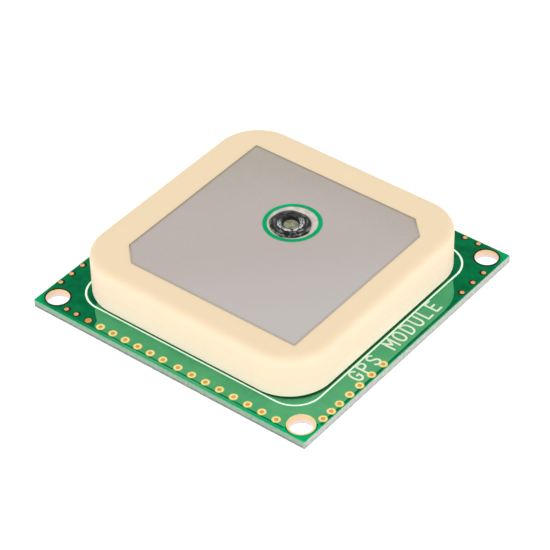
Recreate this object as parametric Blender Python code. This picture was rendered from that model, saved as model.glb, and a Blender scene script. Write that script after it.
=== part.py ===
"""Square positioning module, as its makers lay it out: a green circuit board with a ceramic patch antenna
on top and a screened receiver, a backup cell and a six way socket underneath.

Metres, +Z up. The origin is the centre of the board's outline, on the plane that the screening lid rests on.
Seen from above, -Y is the front left edge of the board, +X the front right one, and the socket faces +Y.
"""

import math

import bmesh
import bpy
from mathutils import Matrix, Vector
from mathutils.geometry import delaunay_2d_cdt

MM = 0.001

# Running clearances
FILM = 0.02 * MM  # solder, glue or print between two pieces that touch
SHEET_CLEARANCE = 0.03 * MM  # between the lid's skirt and the frame inside it

# Circuit board
BOARD_SIDE = 30.0 * MM
BOARD_THICKNESS = 0.8 * MM
CORNER_HOLE_DIAMETER = 2.3 * MM
CORNER_HOLE_INSET = 1.5 * MM
BARREL_WALL = 0.05 * MM
BARREL_RIM_WIDTH = 0.1 * MM
BARREL_RIM_HEIGHT = 0.04 * MM

# Rows of plated vias along the four edges
VIA_HOLE_DIAMETER = 0.36 * MM
VIA_LAND_DIAMETER = 0.88 * MM
VIA_LAND_HEIGHT = 0.035 * MM
VIA_INSET_FRONT_LEFT = 0.76 * MM
VIA_INSET_FRONT_RIGHT = 0.5 * MM
VIA_INSET_BACK = 0.33 * MM
VIA_EDGE_MARGIN = 0.03 * MM
VIA_ROW_START = 3.17 * MM  # from the board's corner to the first via of a row
VIA_HOLE_MARGIN = 0.05 * MM  # from a land to the rim of a corner hole
VIA_PITCH_CLOSE = 1.13 * MM
VIA_PITCH_NARROW = 1.41 * MM
VIA_PITCH_MEDIUM = 1.516 * MM
VIA_PITCH_WIDE = 1.67 * MM
VIA_PITCH_BACK = 1.45 * MM
FRONT_LEFT_NARROW_RUN = 7  # how many narrow pitches the front left row has
FRONT_RIGHT_START_RUN = 2  # how many close, and then narrow, pitches the front right row has
FIRST_VIA_IN_PRINT = 7  # the vias of the front right row that make way for its print
VIAS_IN_PRINT = 6

# Ceramic patch antenna
BLOCK_SIDE = 25.2 * MM
BLOCK_HEIGHT = 4.3 * MM
BLOCK_CORNER_RADIUS = 4.3 * MM
BLOCK_TOP_FILLET = 0.85 * MM
BLOCK_BOTTOM_FILLET = 0.25 * MM
PAD_THICKNESS = 0.2 * MM
PAD_INSET = 0.6 * MM
GROUND_SILVER_INSET = 0.35 * MM
SILVER_THICKNESS = 0.03 * MM
PATCH_SIDE = 19.6 * MM
PATCH_SHIFT = (0.5 * MM, -0.37 * MM)  # from the centre of the block to the centre of the print
PATCH_CORNER_CUT = 1.75 * MM
PRINT_THICKNESS = 0.03 * MM
STOP_RING_INNER_DIAMETER = 4.55 * MM
STOP_RING_WIDTH = 0.375 * MM

# Feed pin
FEED_OFFSET = (-0.24 * MM, 2.86 * MM)  # from the centre of the patch
PIN_SHANK_DIAMETER = 0.8 * MM
PIN_HEAD_DIAMETER = 2.4 * MM
PIN_HEAD_HEIGHT = 0.38 * MM
PIN_HEAD_FLAT_DIAMETER = 0.9 * MM
PIN_TAIL = 0.45 * MM
PIN_CLEARANCE = 0.1 * MM
GROUND_CLEARANCE = 0.8 * MM
SOLDER_DIAMETER = 3.56 * MM
SOLDER_HEIGHT = 0.3 * MM
TAIL_SOLDER_DIAMETER = 1.9 * MM
TAIL_SOLDER_HEIGHT = 0.4 * MM

# Screening can under the board
SHIELD_WIDTH = 19.0 * MM
SHIELD_DEPTH = 15.6 * MM
SHIELD_HEIGHT = 2.6 * MM
SHIELD_BACK_REACH = 2.91 * MM  # from the feed pin to the can's back wall
SHEET = 0.15 * MM
SHEET_BEND = 0.25 * MM
LID_SKIRT_GAP = 0.25 * MM  # from the lid's edge to the board
SHIELD_CORNER_RADIUS = 0.6 * MM
FRAME_FLANGE = 1.1 * MM
LOCK_HOLE_DIAMETER = 0.7 * MM
LOCK_HOLE_DEPTH = 1.1 * MM  # from the lid's face down its skirt
LOCK_DIMPLE_HEIGHT = 0.12 * MM

# Six way side entry socket
WAYS = 6
WAY_PITCH = 1.0 * MM
SOCKET_END_WALL = 1.5 * MM  # from the outer contact to the end of the housing
SOCKET_DEPTH = 3.9 * MM
SOCKET_HEIGHT = 2.35 * MM
SOCKET_SETBACK = 0.2 * MM
SOCKET_BACK_WALL = 1.0 * MM
SOCKET_WALL = 0.45 * MM
SOCKET_FLOOR = 0.4 * MM
SOCKET_CORNER_CUT = 0.25 * MM
SOCKET_KEY_WIDTH = 0.7 * MM
SOCKET_KEY_LENGTH = 1.3 * MM
CONTACT_WIDTH = 0.3 * MM
CONTACT_THICKNESS = 0.2 * MM
CONTACT_TAIL = 0.7 * MM
CONTACT_REACH = 1.9 * MM  # of the pin inside the mouth
NAIL_LENGTH = 1.6 * MM
NAIL_WIDTH = 0.9 * MM
NAIL_THICKNESS = 0.2 * MM

# Backup cell with its two welded tabs
CELL_DIAMETER = 4.8 * MM
CELL_HEIGHT = 1.4 * MM
CELL_CAP_DIAMETER = 3.9 * MM
CELL_CAP_HEIGHT = 0.25 * MM
CELL_SIDE_OFFSET = 7.9 * MM
CELL_GAP = 0.5 * MM  # from the can to the cell
TAB_WIDTH = 1.4 * MM
TAB_THICKNESS = 0.12 * MM
TAB_FOOT = 1.1 * MM
TAB_OVERLAP = 1.5 * MM

# Surface mounted parts: length, width and height of each body
RECEIVER_SIZE = (7.0 * MM, 7.0 * MM, 0.85 * MM)
RECEIVER_LANDS_PER_SIDE = 8
RECEIVER_LAND_PITCH = 0.65 * MM
RECEIVER_LAND_SIZE = (0.24 * MM, 0.4 * MM, 0.2 * MM)
RECEIVER_LAND_PROUD = 0.05 * MM
MEMORY_SIZE = (4.0 * MM, 3.0 * MM, 0.6 * MM)
OSCILLATOR_SIZE = (2.5 * MM, 2.0 * MM, 0.8 * MM)
CLOCK_CRYSTAL_SIZE = (3.2 * MM, 1.5 * MM, 0.75 * MM)
FILTER_SIZE = (1.4 * MM, 1.1 * MM, 0.45 * MM)
AMPLIFIER_SIZE = (1.5 * MM, 1.0 * MM, 0.5 * MM)
REGULATOR_SIZE = (2.9 * MM, 1.6 * MM, 1.1 * MM)
REGULATOR_STANDOFF = 0.1 * MM
REGULATOR_LEG_WIDTH = 0.4 * MM
REGULATOR_LEG_THICKNESS = 0.14 * MM
REGULATOR_LEG_REACH = 0.65 * MM
REGULATOR_LEG_PITCH = 0.95 * MM
INDUCTOR_SIZE = (2.0 * MM, 1.6 * MM, 1.0 * MM)
SMALL_CHIP = (1.0 * MM, 0.5 * MM, 0.5 * MM)
LARGE_CHIP = (1.6 * MM, 0.8 * MM, 0.8 * MM)
RESISTOR_CHIP = (1.0 * MM, 0.5 * MM, 0.35 * MM)
CHIP_CAP_SHARE = 0.25  # of a chip's length, at each end
CHIP_CAP_PROUD = 0.02 * MM
BODY_CHAMFER = 0.08 * MM
CRYSTAL_LID_INSET = 0.15 * MM
CRYSTAL_BASE_SHARE = 0.6  # of the height

# Facets
FILL_INSIDE_WITH_HOLES = 2  # the triangulation's own code for an area with holes in it
FILL_MERGE = 1e-9
CORNER_STEPS = 8
FILLET_STEPS = 4
CAN_STEPS = 3
VIA_SIDES = 8
ROUND_SIDES = 24
SMALL_ROUND_SIDES = 12

# Levels, from the table up
BOARD_BOTTOM = SHIELD_HEIGHT
BOARD_TOP = BOARD_BOTTOM + BOARD_THICKNESS
PAD_BOTTOM = BOARD_TOP + max(VIA_LAND_HEIGHT, FILM + BARREL_RIM_HEIGHT) + FILM
GROUND_SILVER_BOTTOM = PAD_BOTTOM + PAD_THICKNESS + FILM
BLOCK_BOTTOM = GROUND_SILVER_BOTTOM + SILVER_THICKNESS + FILM
BLOCK_TOP = BLOCK_BOTTOM + BLOCK_HEIGHT
PATCH_BOTTOM = BLOCK_TOP + FILM
PATCH_TOP = PATCH_BOTTOM + SILVER_THICKNESS
HEAD_BOTTOM = PATCH_TOP + FILM
UNDER_BOARD = BOARD_BOTTOM - FILM  # where a part that is soldered underneath starts

# Places on the board
BOARD_HALF = BOARD_SIDE / 2
HOLE_PLACE = BOARD_HALF - CORNER_HOLE_INSET
PATCH_CENTRE = Vector(PATCH_SHIFT)
FEED = PATCH_CENTRE + Vector(FEED_OFFSET)
SHIELD_BACK = FEED.y + SHIELD_BACK_REACH
SHIELD_CENTRE = Vector((0.0, SHIELD_BACK - SHIELD_DEPTH / 2))
SOCKET_LENGTH = (WAYS - 1) * WAY_PITCH + 2 * SOCKET_END_WALL
CELL_PLACE = Vector((-CELL_SIDE_OFFSET, SHIELD_BACK + CELL_GAP + CELL_DIAMETER / 2))


def clear_scene():
    """Empty the file, so that only this model is in it."""
    for old in list(bpy.data.objects):
        bpy.data.objects.remove(old)


def make_material(name, colour, roughness, metallic=0.0):
    """A plain finish for one kind of piece."""
    material = bpy.data.materials.new(name)
    material.use_nodes = True
    shader = material.node_tree.nodes["Principled BSDF"]
    shader.inputs["Base Color"].default_value = (*colour, 1.0)
    shader.inputs["Roughness"].default_value = roughness
    shader.inputs["Metallic"].default_value = metallic
    return material


def circle(centre, radius, sides):
    """The corners of a regular polygon that stands for a circle."""
    step = math.tau / sides
    return [
        (centre[0] + radius * math.cos(step * i), centre[1] + radius * math.sin(step * i))
        for i in range(sides)
    ]


def rectangle(centre, length, width):
    """The four corners of a rectangle."""
    half_x = length / 2
    half_y = width / 2
    signs = ((-1, -1), (1, -1), (1, 1), (-1, 1))
    return [(centre[0] + sx * half_x, centre[1] + sy * half_y) for sx, sy in signs]


def rounded_rectangle(length, width, radius, steps=CORNER_STEPS):
    """A rectangle about the origin whose corners are quarter circles."""
    points = []
    for corner in range(4):
        start = math.pi * corner / 2
        middle = start + math.pi / 4
        centre_x = (length / 2 - radius) * math.copysign(1, math.cos(middle))
        centre_y = (width / 2 - radius) * math.copysign(1, math.sin(middle))
        for i in range(steps + 1):
            angle = start + (math.pi / 2) * i / steps
            points.append((centre_x + radius * math.cos(angle), centre_y + radius * math.sin(angle)))
    return points


def rounded_square(side, radius):
    """A rounded rectangle as wide as it is long."""
    return rounded_rectangle(side, side, radius)


def add_loop(bm, points, z):
    """A ring of vertices at one height."""
    return [bm.verts.new((x, y, z)) for x, y in points]


def bridge(bm, lower, upper):
    """Quads between two rings with as many vertices each."""
    count = len(lower)
    for i in range(count):
        j = (i + 1) % count
        bm.faces.new((lower[i], lower[j], upper[j], upper[i]))


def cap(bm, rings):
    """Fill the level area inside the first ring and outside the others with triangles."""
    vertices = []
    outlines = []
    for ring in rings:
        first = len(vertices)
        vertices += ring
        outlines.append(list(range(first, len(vertices))))
    outer, *holes = outlines
    areas = [outer] + [hole[::-1] for hole in holes]
    flat = [vertex.co.xy for vertex in vertices]
    filled = delaunay_2d_cdt(flat, [], areas, FILL_INSIDE_WITH_HOLES, FILL_MERGE)
    triangles = filled[2]
    sources = filled[3]
    for triangle in triangles:
        bm.faces.new([vertices[sources[corner][0]] for corner in triangle])


def finish(name, bm, material, smooth=False):
    """Turn a bmesh into a named object with its faces pointing out."""
    bmesh.ops.recalc_face_normals(bm, faces=bm.faces)
    mesh = bpy.data.meshes.new(name)
    bm.to_mesh(mesh)
    bm.free()
    mesh.materials.append(material)
    if smooth:
        mesh.shade_smooth()
        mesh.set_sharp_from_angle(angle=math.radians(30))
    piece = bpy.data.objects.new(name, mesh)
    bpy.context.scene.collection.objects.link(piece)
    return piece


def plate(name, outline, holes, z_low, z_high, material, smooth=False):
    """A flat piece of one outline, with holes through it."""
    bm = bmesh.new()
    low_rings = [add_loop(bm, ring, z_low) for ring in (outline, *holes)]
    high_rings = [add_loop(bm, ring, z_high) for ring in (outline, *holes)]
    for low, high in zip(low_rings, high_rings):
        bridge(bm, low, high)
    cap(bm, low_rings)
    cap(bm, high_rings)
    return finish(name, bm, material, smooth)


def turned(name, profile, centre, sides, material):
    """A round piece: a closed profile of (radius, height) points turned about an upright axis."""
    bm = bmesh.new()
    rings = []
    for radius, z in profile:
        if radius == 0:
            rings.append([bm.verts.new((centre[0], centre[1], z))])
        else:
            rings.append(add_loop(bm, circle(centre, radius, sides), z))
    for first, second in zip(rings, rings[1:] + rings[:1]):
        if len(first) == 1 and len(second) == 1:
            continue
        if len(first) == 1 or len(second) == 1:
            tip, ring = (first, second) if len(first) == 1 else (second, first)
            for i in range(sides):
                bm.faces.new((tip[0], ring[i], ring[(i + 1) % sides]))
        else:
            bridge(bm, first, second)
    return finish(name, bm, material, smooth=True)


def offset_line(line, thickness):
    """The other side of a sheet that follows a line of right angled bends."""
    far = []
    for i, point in enumerate(line):
        here = Vector(point)
        spans = [here - Vector(line[i - 1])] if i else []
        if i + 1 < len(line):
            spans.append(Vector(line[i + 1]) - here)
        shift = Vector((0.0, 0.0))
        for span in spans:
            shift += Vector((-span.y, span.x)).normalized()
        far.append(here + shift * thickness)
    return far


def add_strip(bm, line, thickness, width, across=0.0, side=1):
    """A bent strip of sheet: its side view follows (along, height) points, its width lies across them."""
    left = across - width / 2
    right = across + width / 2
    rings = []
    for near, far in zip(line, offset_line(line, thickness)):
        section = ((left, near), (right, near), (right, far), (left, far))
        rings.append([bm.verts.new((x, side * along, z)) for x, (along, z) in section])
    for first, second in zip(rings, rings[1:]):
        bridge(bm, first, second)
    bm.faces.new(rings[0])
    bm.faces.new(rings[-1])


def strip(name, line, thickness, width, material):
    """A bent strip of sheet as a piece of its own."""
    bm = bmesh.new()
    add_strip(bm, line, thickness, width)
    return finish(name, bm, material)


def box(name, size, centre, z_low, material):
    """A plain block that stands on a level."""
    outline = rectangle(centre, size[0], size[1])
    return plate(name, outline, [], z_low, z_low + size[2], material)


def cutter(piece):
    """Keep a helper out of the model."""
    piece.hide_render = True
    piece.display_type = "WIRE"
    return piece


def carve(piece, tool, operation="DIFFERENCE"):
    """Cut one piece with another, or join it."""
    modifier = piece.modifiers.new(f"{operation.lower()} {tool.name}", "BOOLEAN")
    modifier.operation = operation
    modifier.object = tool


def soften(piece, width, segments=1):
    """Round or chamfer the edges of a moulded body."""
    modifier = piece.modifiers.new("edges", "BEVEL")
    modifier.width = width
    modifier.segments = segments
    modifier.limit_method = "ANGLE"
    modifier.angle_limit = math.radians(40)


def place(piece, centre, turn=0.0):
    """Put a piece that was modelled at the origin on its place."""
    piece.location = (centre[0], centre[1], 0.0)
    piece.rotation_euler = (0.0, 0.0, turn)
    return piece


def via_row(first_pitches, last_pitch):
    """How far each via of a row lies from the board's middle, along its edge."""
    places = [-BOARD_HALF + VIA_ROW_START]
    for pitch in first_pitches:
        places.append(places[-1] + pitch)
    while places[-1] + last_pitch < HOLE_PLACE:
        places.append(places[-1] + last_pitch)
    return places


def clear_of_corner_holes(centre):
    """Whether a via's land has room beside the rims of the corner holes."""
    rim = CORNER_HOLE_DIAMETER / 2 + BARREL_WALL + BARREL_RIM_WIDTH
    keepout = rim + VIA_HOLE_MARGIN + VIA_LAND_DIAMETER / 2
    return all(math.dist(centre, corner) > keepout for corner in corner_places())


def via_places():
    """The centre of every via. The front right row has a gap for its print."""
    narrow_run = FRONT_LEFT_NARROW_RUN * [VIA_PITCH_NARROW]
    front_left = via_row([VIA_PITCH_CLOSE, *narrow_run, VIA_PITCH_WIDE], VIA_PITCH_MEDIUM)
    close_run = FRONT_RIGHT_START_RUN * [VIA_PITCH_CLOSE]
    narrow_run = FRONT_RIGHT_START_RUN * [VIA_PITCH_NARROW]
    front_right = via_row([*close_run, *narrow_run], VIA_PITCH_WIDE)
    del front_right[FIRST_VIA_IN_PRINT : FIRST_VIA_IN_PRINT + VIAS_IN_PRINT]
    back = via_row([], VIA_PITCH_BACK)
    places = [(along, -BOARD_HALF + VIA_INSET_FRONT_LEFT) for along in front_left]
    places += [(BOARD_HALF - VIA_INSET_FRONT_RIGHT, along) for along in front_right]
    places += [(-BOARD_HALF + VIA_INSET_BACK, along) for along in back]
    places += [(-along, BOARD_HALF - VIA_INSET_BACK) for along in back]
    return [centre for centre in places if clear_of_corner_holes(centre)]


def via_land_outline(centre):
    """A round land, trimmed where the board's edge cuts it."""
    limit = BOARD_HALF - VIA_EDGE_MARGIN
    outline = circle(centre, VIA_LAND_DIAMETER / 2, VIA_SIDES)
    return [(max(-limit, min(limit, x)), max(-limit, min(limit, y))) for x, y in outline]


def make_board(laminate):
    """The laminate with its via holes, raised lands, corner holes and feed hole."""
    bm = bmesh.new()
    outline = rectangle((0.0, 0.0), BOARD_SIDE, BOARD_SIDE)
    wide_hole = CORNER_HOLE_DIAMETER / 2 + BARREL_WALL + FILM
    through = [circle(corner, wide_hole, ROUND_SIDES) for corner in corner_places()]
    through.append(circle(FEED, PIN_SHANK_DIAMETER / 2 + PIN_CLEARANCE, SMALL_ROUND_SIDES))
    low_rings = [add_loop(bm, ring, BOARD_BOTTOM) for ring in (outline, *through)]
    high_rings = [add_loop(bm, ring, BOARD_TOP) for ring in (outline, *through)]
    for low, high in zip(low_rings, high_rings):
        bridge(bm, low, high)
    land_top = BOARD_TOP + VIA_LAND_HEIGHT
    for centre in via_places():
        hole = circle(centre, VIA_HOLE_DIAMETER / 2, VIA_SIDES)
        land = via_land_outline(centre)
        hole_low = add_loop(bm, hole, BOARD_BOTTOM)
        hole_high = add_loop(bm, hole, land_top)
        land_low = add_loop(bm, land, BOARD_TOP)
        land_high = add_loop(bm, land, land_top)
        bridge(bm, hole_low, hole_high)
        bridge(bm, land_low, land_high)
        bridge(bm, land_high, hole_high)
        low_rings.append(hole_low)
        high_rings.append(land_low)
    cap(bm, low_rings)
    cap(bm, high_rings)
    return finish("circuit_board", bm, laminate)


def corner_places():
    """The centres of the four corner holes: left, front, right and back as the photograph sees them."""
    return [
        (-HOLE_PLACE, -HOLE_PLACE),
        (HOLE_PLACE, -HOLE_PLACE),
        (HOLE_PLACE, HOLE_PLACE),
        (-HOLE_PLACE, HOLE_PLACE),
    ]


def make_corner_barrels(gold):
    """The gold plating of each corner hole: a thin tube with a rim on both faces of the board."""
    inner = CORNER_HOLE_DIAMETER / 2
    outer = inner + BARREL_WALL
    rim = inner + BARREL_WALL + BARREL_RIM_WIDTH
    top = BOARD_TOP + FILM
    bottom = BOARD_BOTTOM - FILM
    profile = [
        (inner, bottom - BARREL_RIM_HEIGHT),
        (rim, bottom - BARREL_RIM_HEIGHT),
        (rim, bottom),
        (outer, bottom),
        (outer, top),
        (rim, top),
        (rim, top + BARREL_RIM_HEIGHT),
        (inner, top + BARREL_RIM_HEIGHT),
    ]
    for side, centre in zip(("left", "front", "right", "back"), corner_places()):
        turned(f"corner_barrel_{side}", profile, centre, ROUND_SIDES, gold)


def make_ceramic_block(ceramic):
    """The pressed ceramic block: round corners, soft upper edge, and a hole for the feed pin."""
    sections = []
    for i in range(FILLET_STEPS // 2 + 1):
        angle = (math.pi / 2) * i / (FILLET_STEPS // 2)
        inset = BLOCK_BOTTOM_FILLET * (1 - math.sin(angle))
        sections.append((inset, BLOCK_BOTTOM + BLOCK_BOTTOM_FILLET * (1 - math.cos(angle))))
    for i in range(FILLET_STEPS + 1):
        angle = (math.pi / 2) * i / FILLET_STEPS
        inset = BLOCK_TOP_FILLET * (1 - math.cos(angle))
        sections.append((inset, BLOCK_TOP - BLOCK_TOP_FILLET * (1 - math.sin(angle))))
    bm = bmesh.new()
    rings = [
        add_loop(bm, rounded_square(BLOCK_SIDE - 2 * inset, BLOCK_CORNER_RADIUS - inset), z)
        for inset, z in sections
    ]
    for lower, upper in zip(rings, rings[1:]):
        bridge(bm, lower, upper)
    hole = circle(FEED, PIN_SHANK_DIAMETER / 2 + PIN_CLEARANCE, SMALL_ROUND_SIDES)
    hole_low = add_loop(bm, hole, BLOCK_BOTTOM)
    hole_high = add_loop(bm, hole, BLOCK_TOP)
    bridge(bm, hole_low, hole_high)
    cap(bm, [rings[0], hole_low])
    cap(bm, [rings[-1], hole_high])
    finish("ceramic_block", bm, ceramic, smooth=True)


def make_pad_and_silver(foam, silver):
    """The glue pad and the ground silver under the block, both open around the feed pin."""
    clear = circle(FEED, PIN_SHANK_DIAMETER / 2 + GROUND_CLEARANCE, ROUND_SIDES)
    pad_side = BLOCK_SIDE - 2 * PAD_INSET
    pad_outline = rounded_square(pad_side, BLOCK_CORNER_RADIUS - PAD_INSET)
    plate("mounting_pad", pad_outline, [clear], PAD_BOTTOM, PAD_BOTTOM + PAD_THICKNESS, foam)
    ground_side = BLOCK_SIDE - 2 * GROUND_SILVER_INSET
    ground_outline = rounded_square(ground_side, BLOCK_CORNER_RADIUS - GROUND_SILVER_INSET)
    ground_top = GROUND_SILVER_BOTTOM + SILVER_THICKNESS
    plate("ground_silver", ground_outline, [clear], GROUND_SILVER_BOTTOM, ground_top, silver)


def make_patch(silver, mask):
    """The printed silver patch, two opposite corners cut for circular waves, and the ring that stops solder."""
    half = PATCH_SIDE / 2
    cut = PATCH_CORNER_CUT
    corners = [
        (-half + cut, -half),
        (half, -half),
        (half, half - cut),
        (half - cut, half),
        (-half, half),
        (-half, -half + cut),
    ]
    outline = [PATCH_CENTRE + Vector(corner) for corner in corners]
    hole = circle(FEED, PIN_SHANK_DIAMETER / 2 + PIN_CLEARANCE, SMALL_ROUND_SIDES)
    plate("patch_silver", outline, [hole], PATCH_BOTTOM, PATCH_TOP, silver)
    ring_outer = circle(FEED, STOP_RING_INNER_DIAMETER / 2 + STOP_RING_WIDTH, 2 * ROUND_SIDES)
    ring_inner = circle(FEED, STOP_RING_INNER_DIAMETER / 2, 2 * ROUND_SIDES)
    ring_top = HEAD_BOTTOM + PRINT_THICKNESS
    plate("solder_stop_ring", ring_outer, [ring_inner], HEAD_BOTTOM, ring_top, mask, smooth=True)


def make_feed_pin(metal, solder):
    """The nail shaped feed pin, the solder round its head and the joint on its tail."""
    shank = PIN_SHANK_DIAMETER / 2
    head = PIN_HEAD_DIAMETER / 2
    flat = PIN_HEAD_FLAT_DIAMETER / 2
    tail = BOARD_BOTTOM - PIN_TAIL
    dome_steps = 4
    profile = [(0.0, tail), (shank, tail), (shank, HEAD_BOTTOM), (head, HEAD_BOTTOM)]
    for i in range(1, dome_steps + 1):
        angle = (math.pi / 2) * i / dome_steps
        radius = flat + (head - flat) * math.cos(angle)
        profile.append((radius, HEAD_BOTTOM + PIN_HEAD_HEIGHT * math.sin(angle)))
    profile.append((0.0, HEAD_BOTTOM + PIN_HEAD_HEIGHT))
    turned("feed_pin", profile, FEED, ROUND_SIDES, metal)

    inside = head + FILM
    outside = SOLDER_DIAMETER / 2
    collar = [(inside, HEAD_BOTTOM), (outside, HEAD_BOTTOM)]
    for i in range(1, dome_steps + 1):
        share = i / dome_steps
        radius = outside + (inside - outside) * share
        collar.append((radius, HEAD_BOTTOM + SOLDER_HEIGHT * math.sin(share * math.pi / 2)))
    turned("feed_solder", collar, FEED, ROUND_SIDES, solder)

    inside = shank + FILM
    outside = TAIL_SOLDER_DIAMETER / 2
    joint = [(inside, UNDER_BOARD), (outside, UNDER_BOARD)]
    for i in range(1, dome_steps + 1):
        share = i / dome_steps
        radius = outside + (inside + FILM - outside) * share
        joint.append((radius, UNDER_BOARD - TAIL_SOLDER_HEIGHT * share * share))
    joint.append((inside, UNDER_BOARD - TAIL_SOLDER_HEIGHT))
    turned("tail_solder", joint, FEED, SMALL_ROUND_SIDES + 4, solder)


def skirt_pegs(name, inner, outer, inner_radius, outer_radius, tin):
    """Round pegs across the four skirts of the can, two to a side, as one helper.

    The pegs run from one distance inside the lid's outer face to another.
    """
    level = LOCK_HOLE_DEPTH
    bm = bmesh.new()
    for turn in range(4):
        along, across = (SHIELD_WIDTH, SHIELD_DEPTH) if turn % 2 == 0 else (SHIELD_DEPTH, SHIELD_WIDTH)
        spin = Matrix.Rotation(turn * math.pi / 2, 4, "Z")
        for sign in (-1, 1):
            centre = (sign * along / 4, level)
            near = []
            far = []
            for x, z in circle(centre, inner_radius, SMALL_ROUND_SIDES):
                near.append(bm.verts.new(spin @ Vector((x, across / 2 - inner, z))))
            for x, z in circle(centre, outer_radius, SMALL_ROUND_SIDES):
                far.append(bm.verts.new(spin @ Vector((x, across / 2 - outer, z))))
            bridge(bm, near, far)
            bm.faces.new(near)
            bm.faces.new(far)
    return cutter(place(finish(name, bm, tin), SHIELD_CENTRE))


def corner_openings(name, z_low, tin):
    """Four upright blocks that open the folded corners of the can above a height."""
    bm = bmesh.new()
    size = 2 * SHIELD_CORNER_RADIUS + SHEET
    for sx, sy in ((-1, -1), (1, -1), (1, 1), (-1, 1)):
        outline = rectangle((sx * SHIELD_WIDTH / 2, sy * SHIELD_DEPTH / 2), size, size)
        low = add_loop(bm, outline, z_low)
        high = add_loop(bm, outline, BOARD_TOP)
        bridge(bm, low, high)
        bm.faces.new(low)
        bm.faces.new(high)
    return cutter(place(finish(name, bm, tin), SHIELD_CENTRE))


def can_ring(bm, inset, z, radius=SHIELD_CORNER_RADIUS):
    """A level line round the can, some way inside the lid's outer face."""
    corner = max(radius - inset, SHEET)
    outline = rounded_rectangle(SHIELD_WIDTH - 2 * inset, SHIELD_DEPTH - 2 * inset, corner, CAN_STEPS)
    return add_loop(bm, outline, z)


def bend(inset, z, radius, steps=CAN_STEPS):
    """The places round the outside of a fold, from the flat face up to the skirt."""
    angles = [(math.pi / 2) * i / steps for i in range(steps + 1)]
    return [(inset + radius * (1 - math.sin(a)), z + radius * (1 - math.cos(a))) for a in angles]


def make_shield_lid(tin):
    """The lid: a folded tray with a skirt on each side, holed where the frame's dimples click in."""
    skirt_top = BOARD_BOTTOM - LID_SKIRT_GAP
    outside = bend(0.0, 0.0, SHEET_BEND + SHEET)
    inside = bend(SHEET, SHEET, SHEET_BEND)
    profile = outside + [(0.0, skirt_top), (SHEET, skirt_top)] + inside[::-1]
    bm = bmesh.new()
    rings = [can_ring(bm, inset, z) for inset, z in profile]
    for lower, upper in zip(rings, rings[1:]):
        bridge(bm, lower, upper)
    cap(bm, [rings[0]])
    cap(bm, [rings[-1]])
    lid = place(finish("shield_lid", bm, tin), SHIELD_CENTRE)
    hole = LOCK_HOLE_DIAMETER / 2
    carve(lid, skirt_pegs("lock_holes", 2 * SHEET, -SHEET, hole, hole, tin))
    carve(lid, corner_openings("lid_corners", SHEET + SHEET_BEND + FILM, tin))


def make_shield_frame(tin):
    """The frame that is soldered to the board: walls, a flange round a window, and the dimples."""
    face = SHEET + SHEET_CLEARANCE
    inner = face + SHEET
    window = face + FRAME_FLANGE
    profile = [
        (face + SHEET_BEND, face),
        (face, face + SHEET_BEND),
        (face, UNDER_BOARD),
        (inner, UNDER_BOARD),
        (inner, inner + SHEET_BEND),
        (inner + SHEET_BEND, inner),
        (window, inner),
        (window, face),
    ]
    bm = bmesh.new()
    rings = [can_ring(bm, inset, z) for inset, z in profile]
    for lower, upper in zip(rings, rings[1:] + rings[:1]):
        bridge(bm, lower, upper)
    frame = place(finish("shield_frame", bm, tin), SHIELD_CENTRE)
    foot = LOCK_HOLE_DIAMETER / 2 - SHEET_CLEARANCE
    crown = foot - LOCK_DIMPLE_HEIGHT
    reach = face - LOCK_DIMPLE_HEIGHT
    carve(frame, skirt_pegs("lock_dimples", face + SHEET / 2, reach, foot, crown, tin), "UNION")
    carve(frame, corner_openings("frame_corners", inner + SHEET_BEND + FILM, tin))


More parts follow.
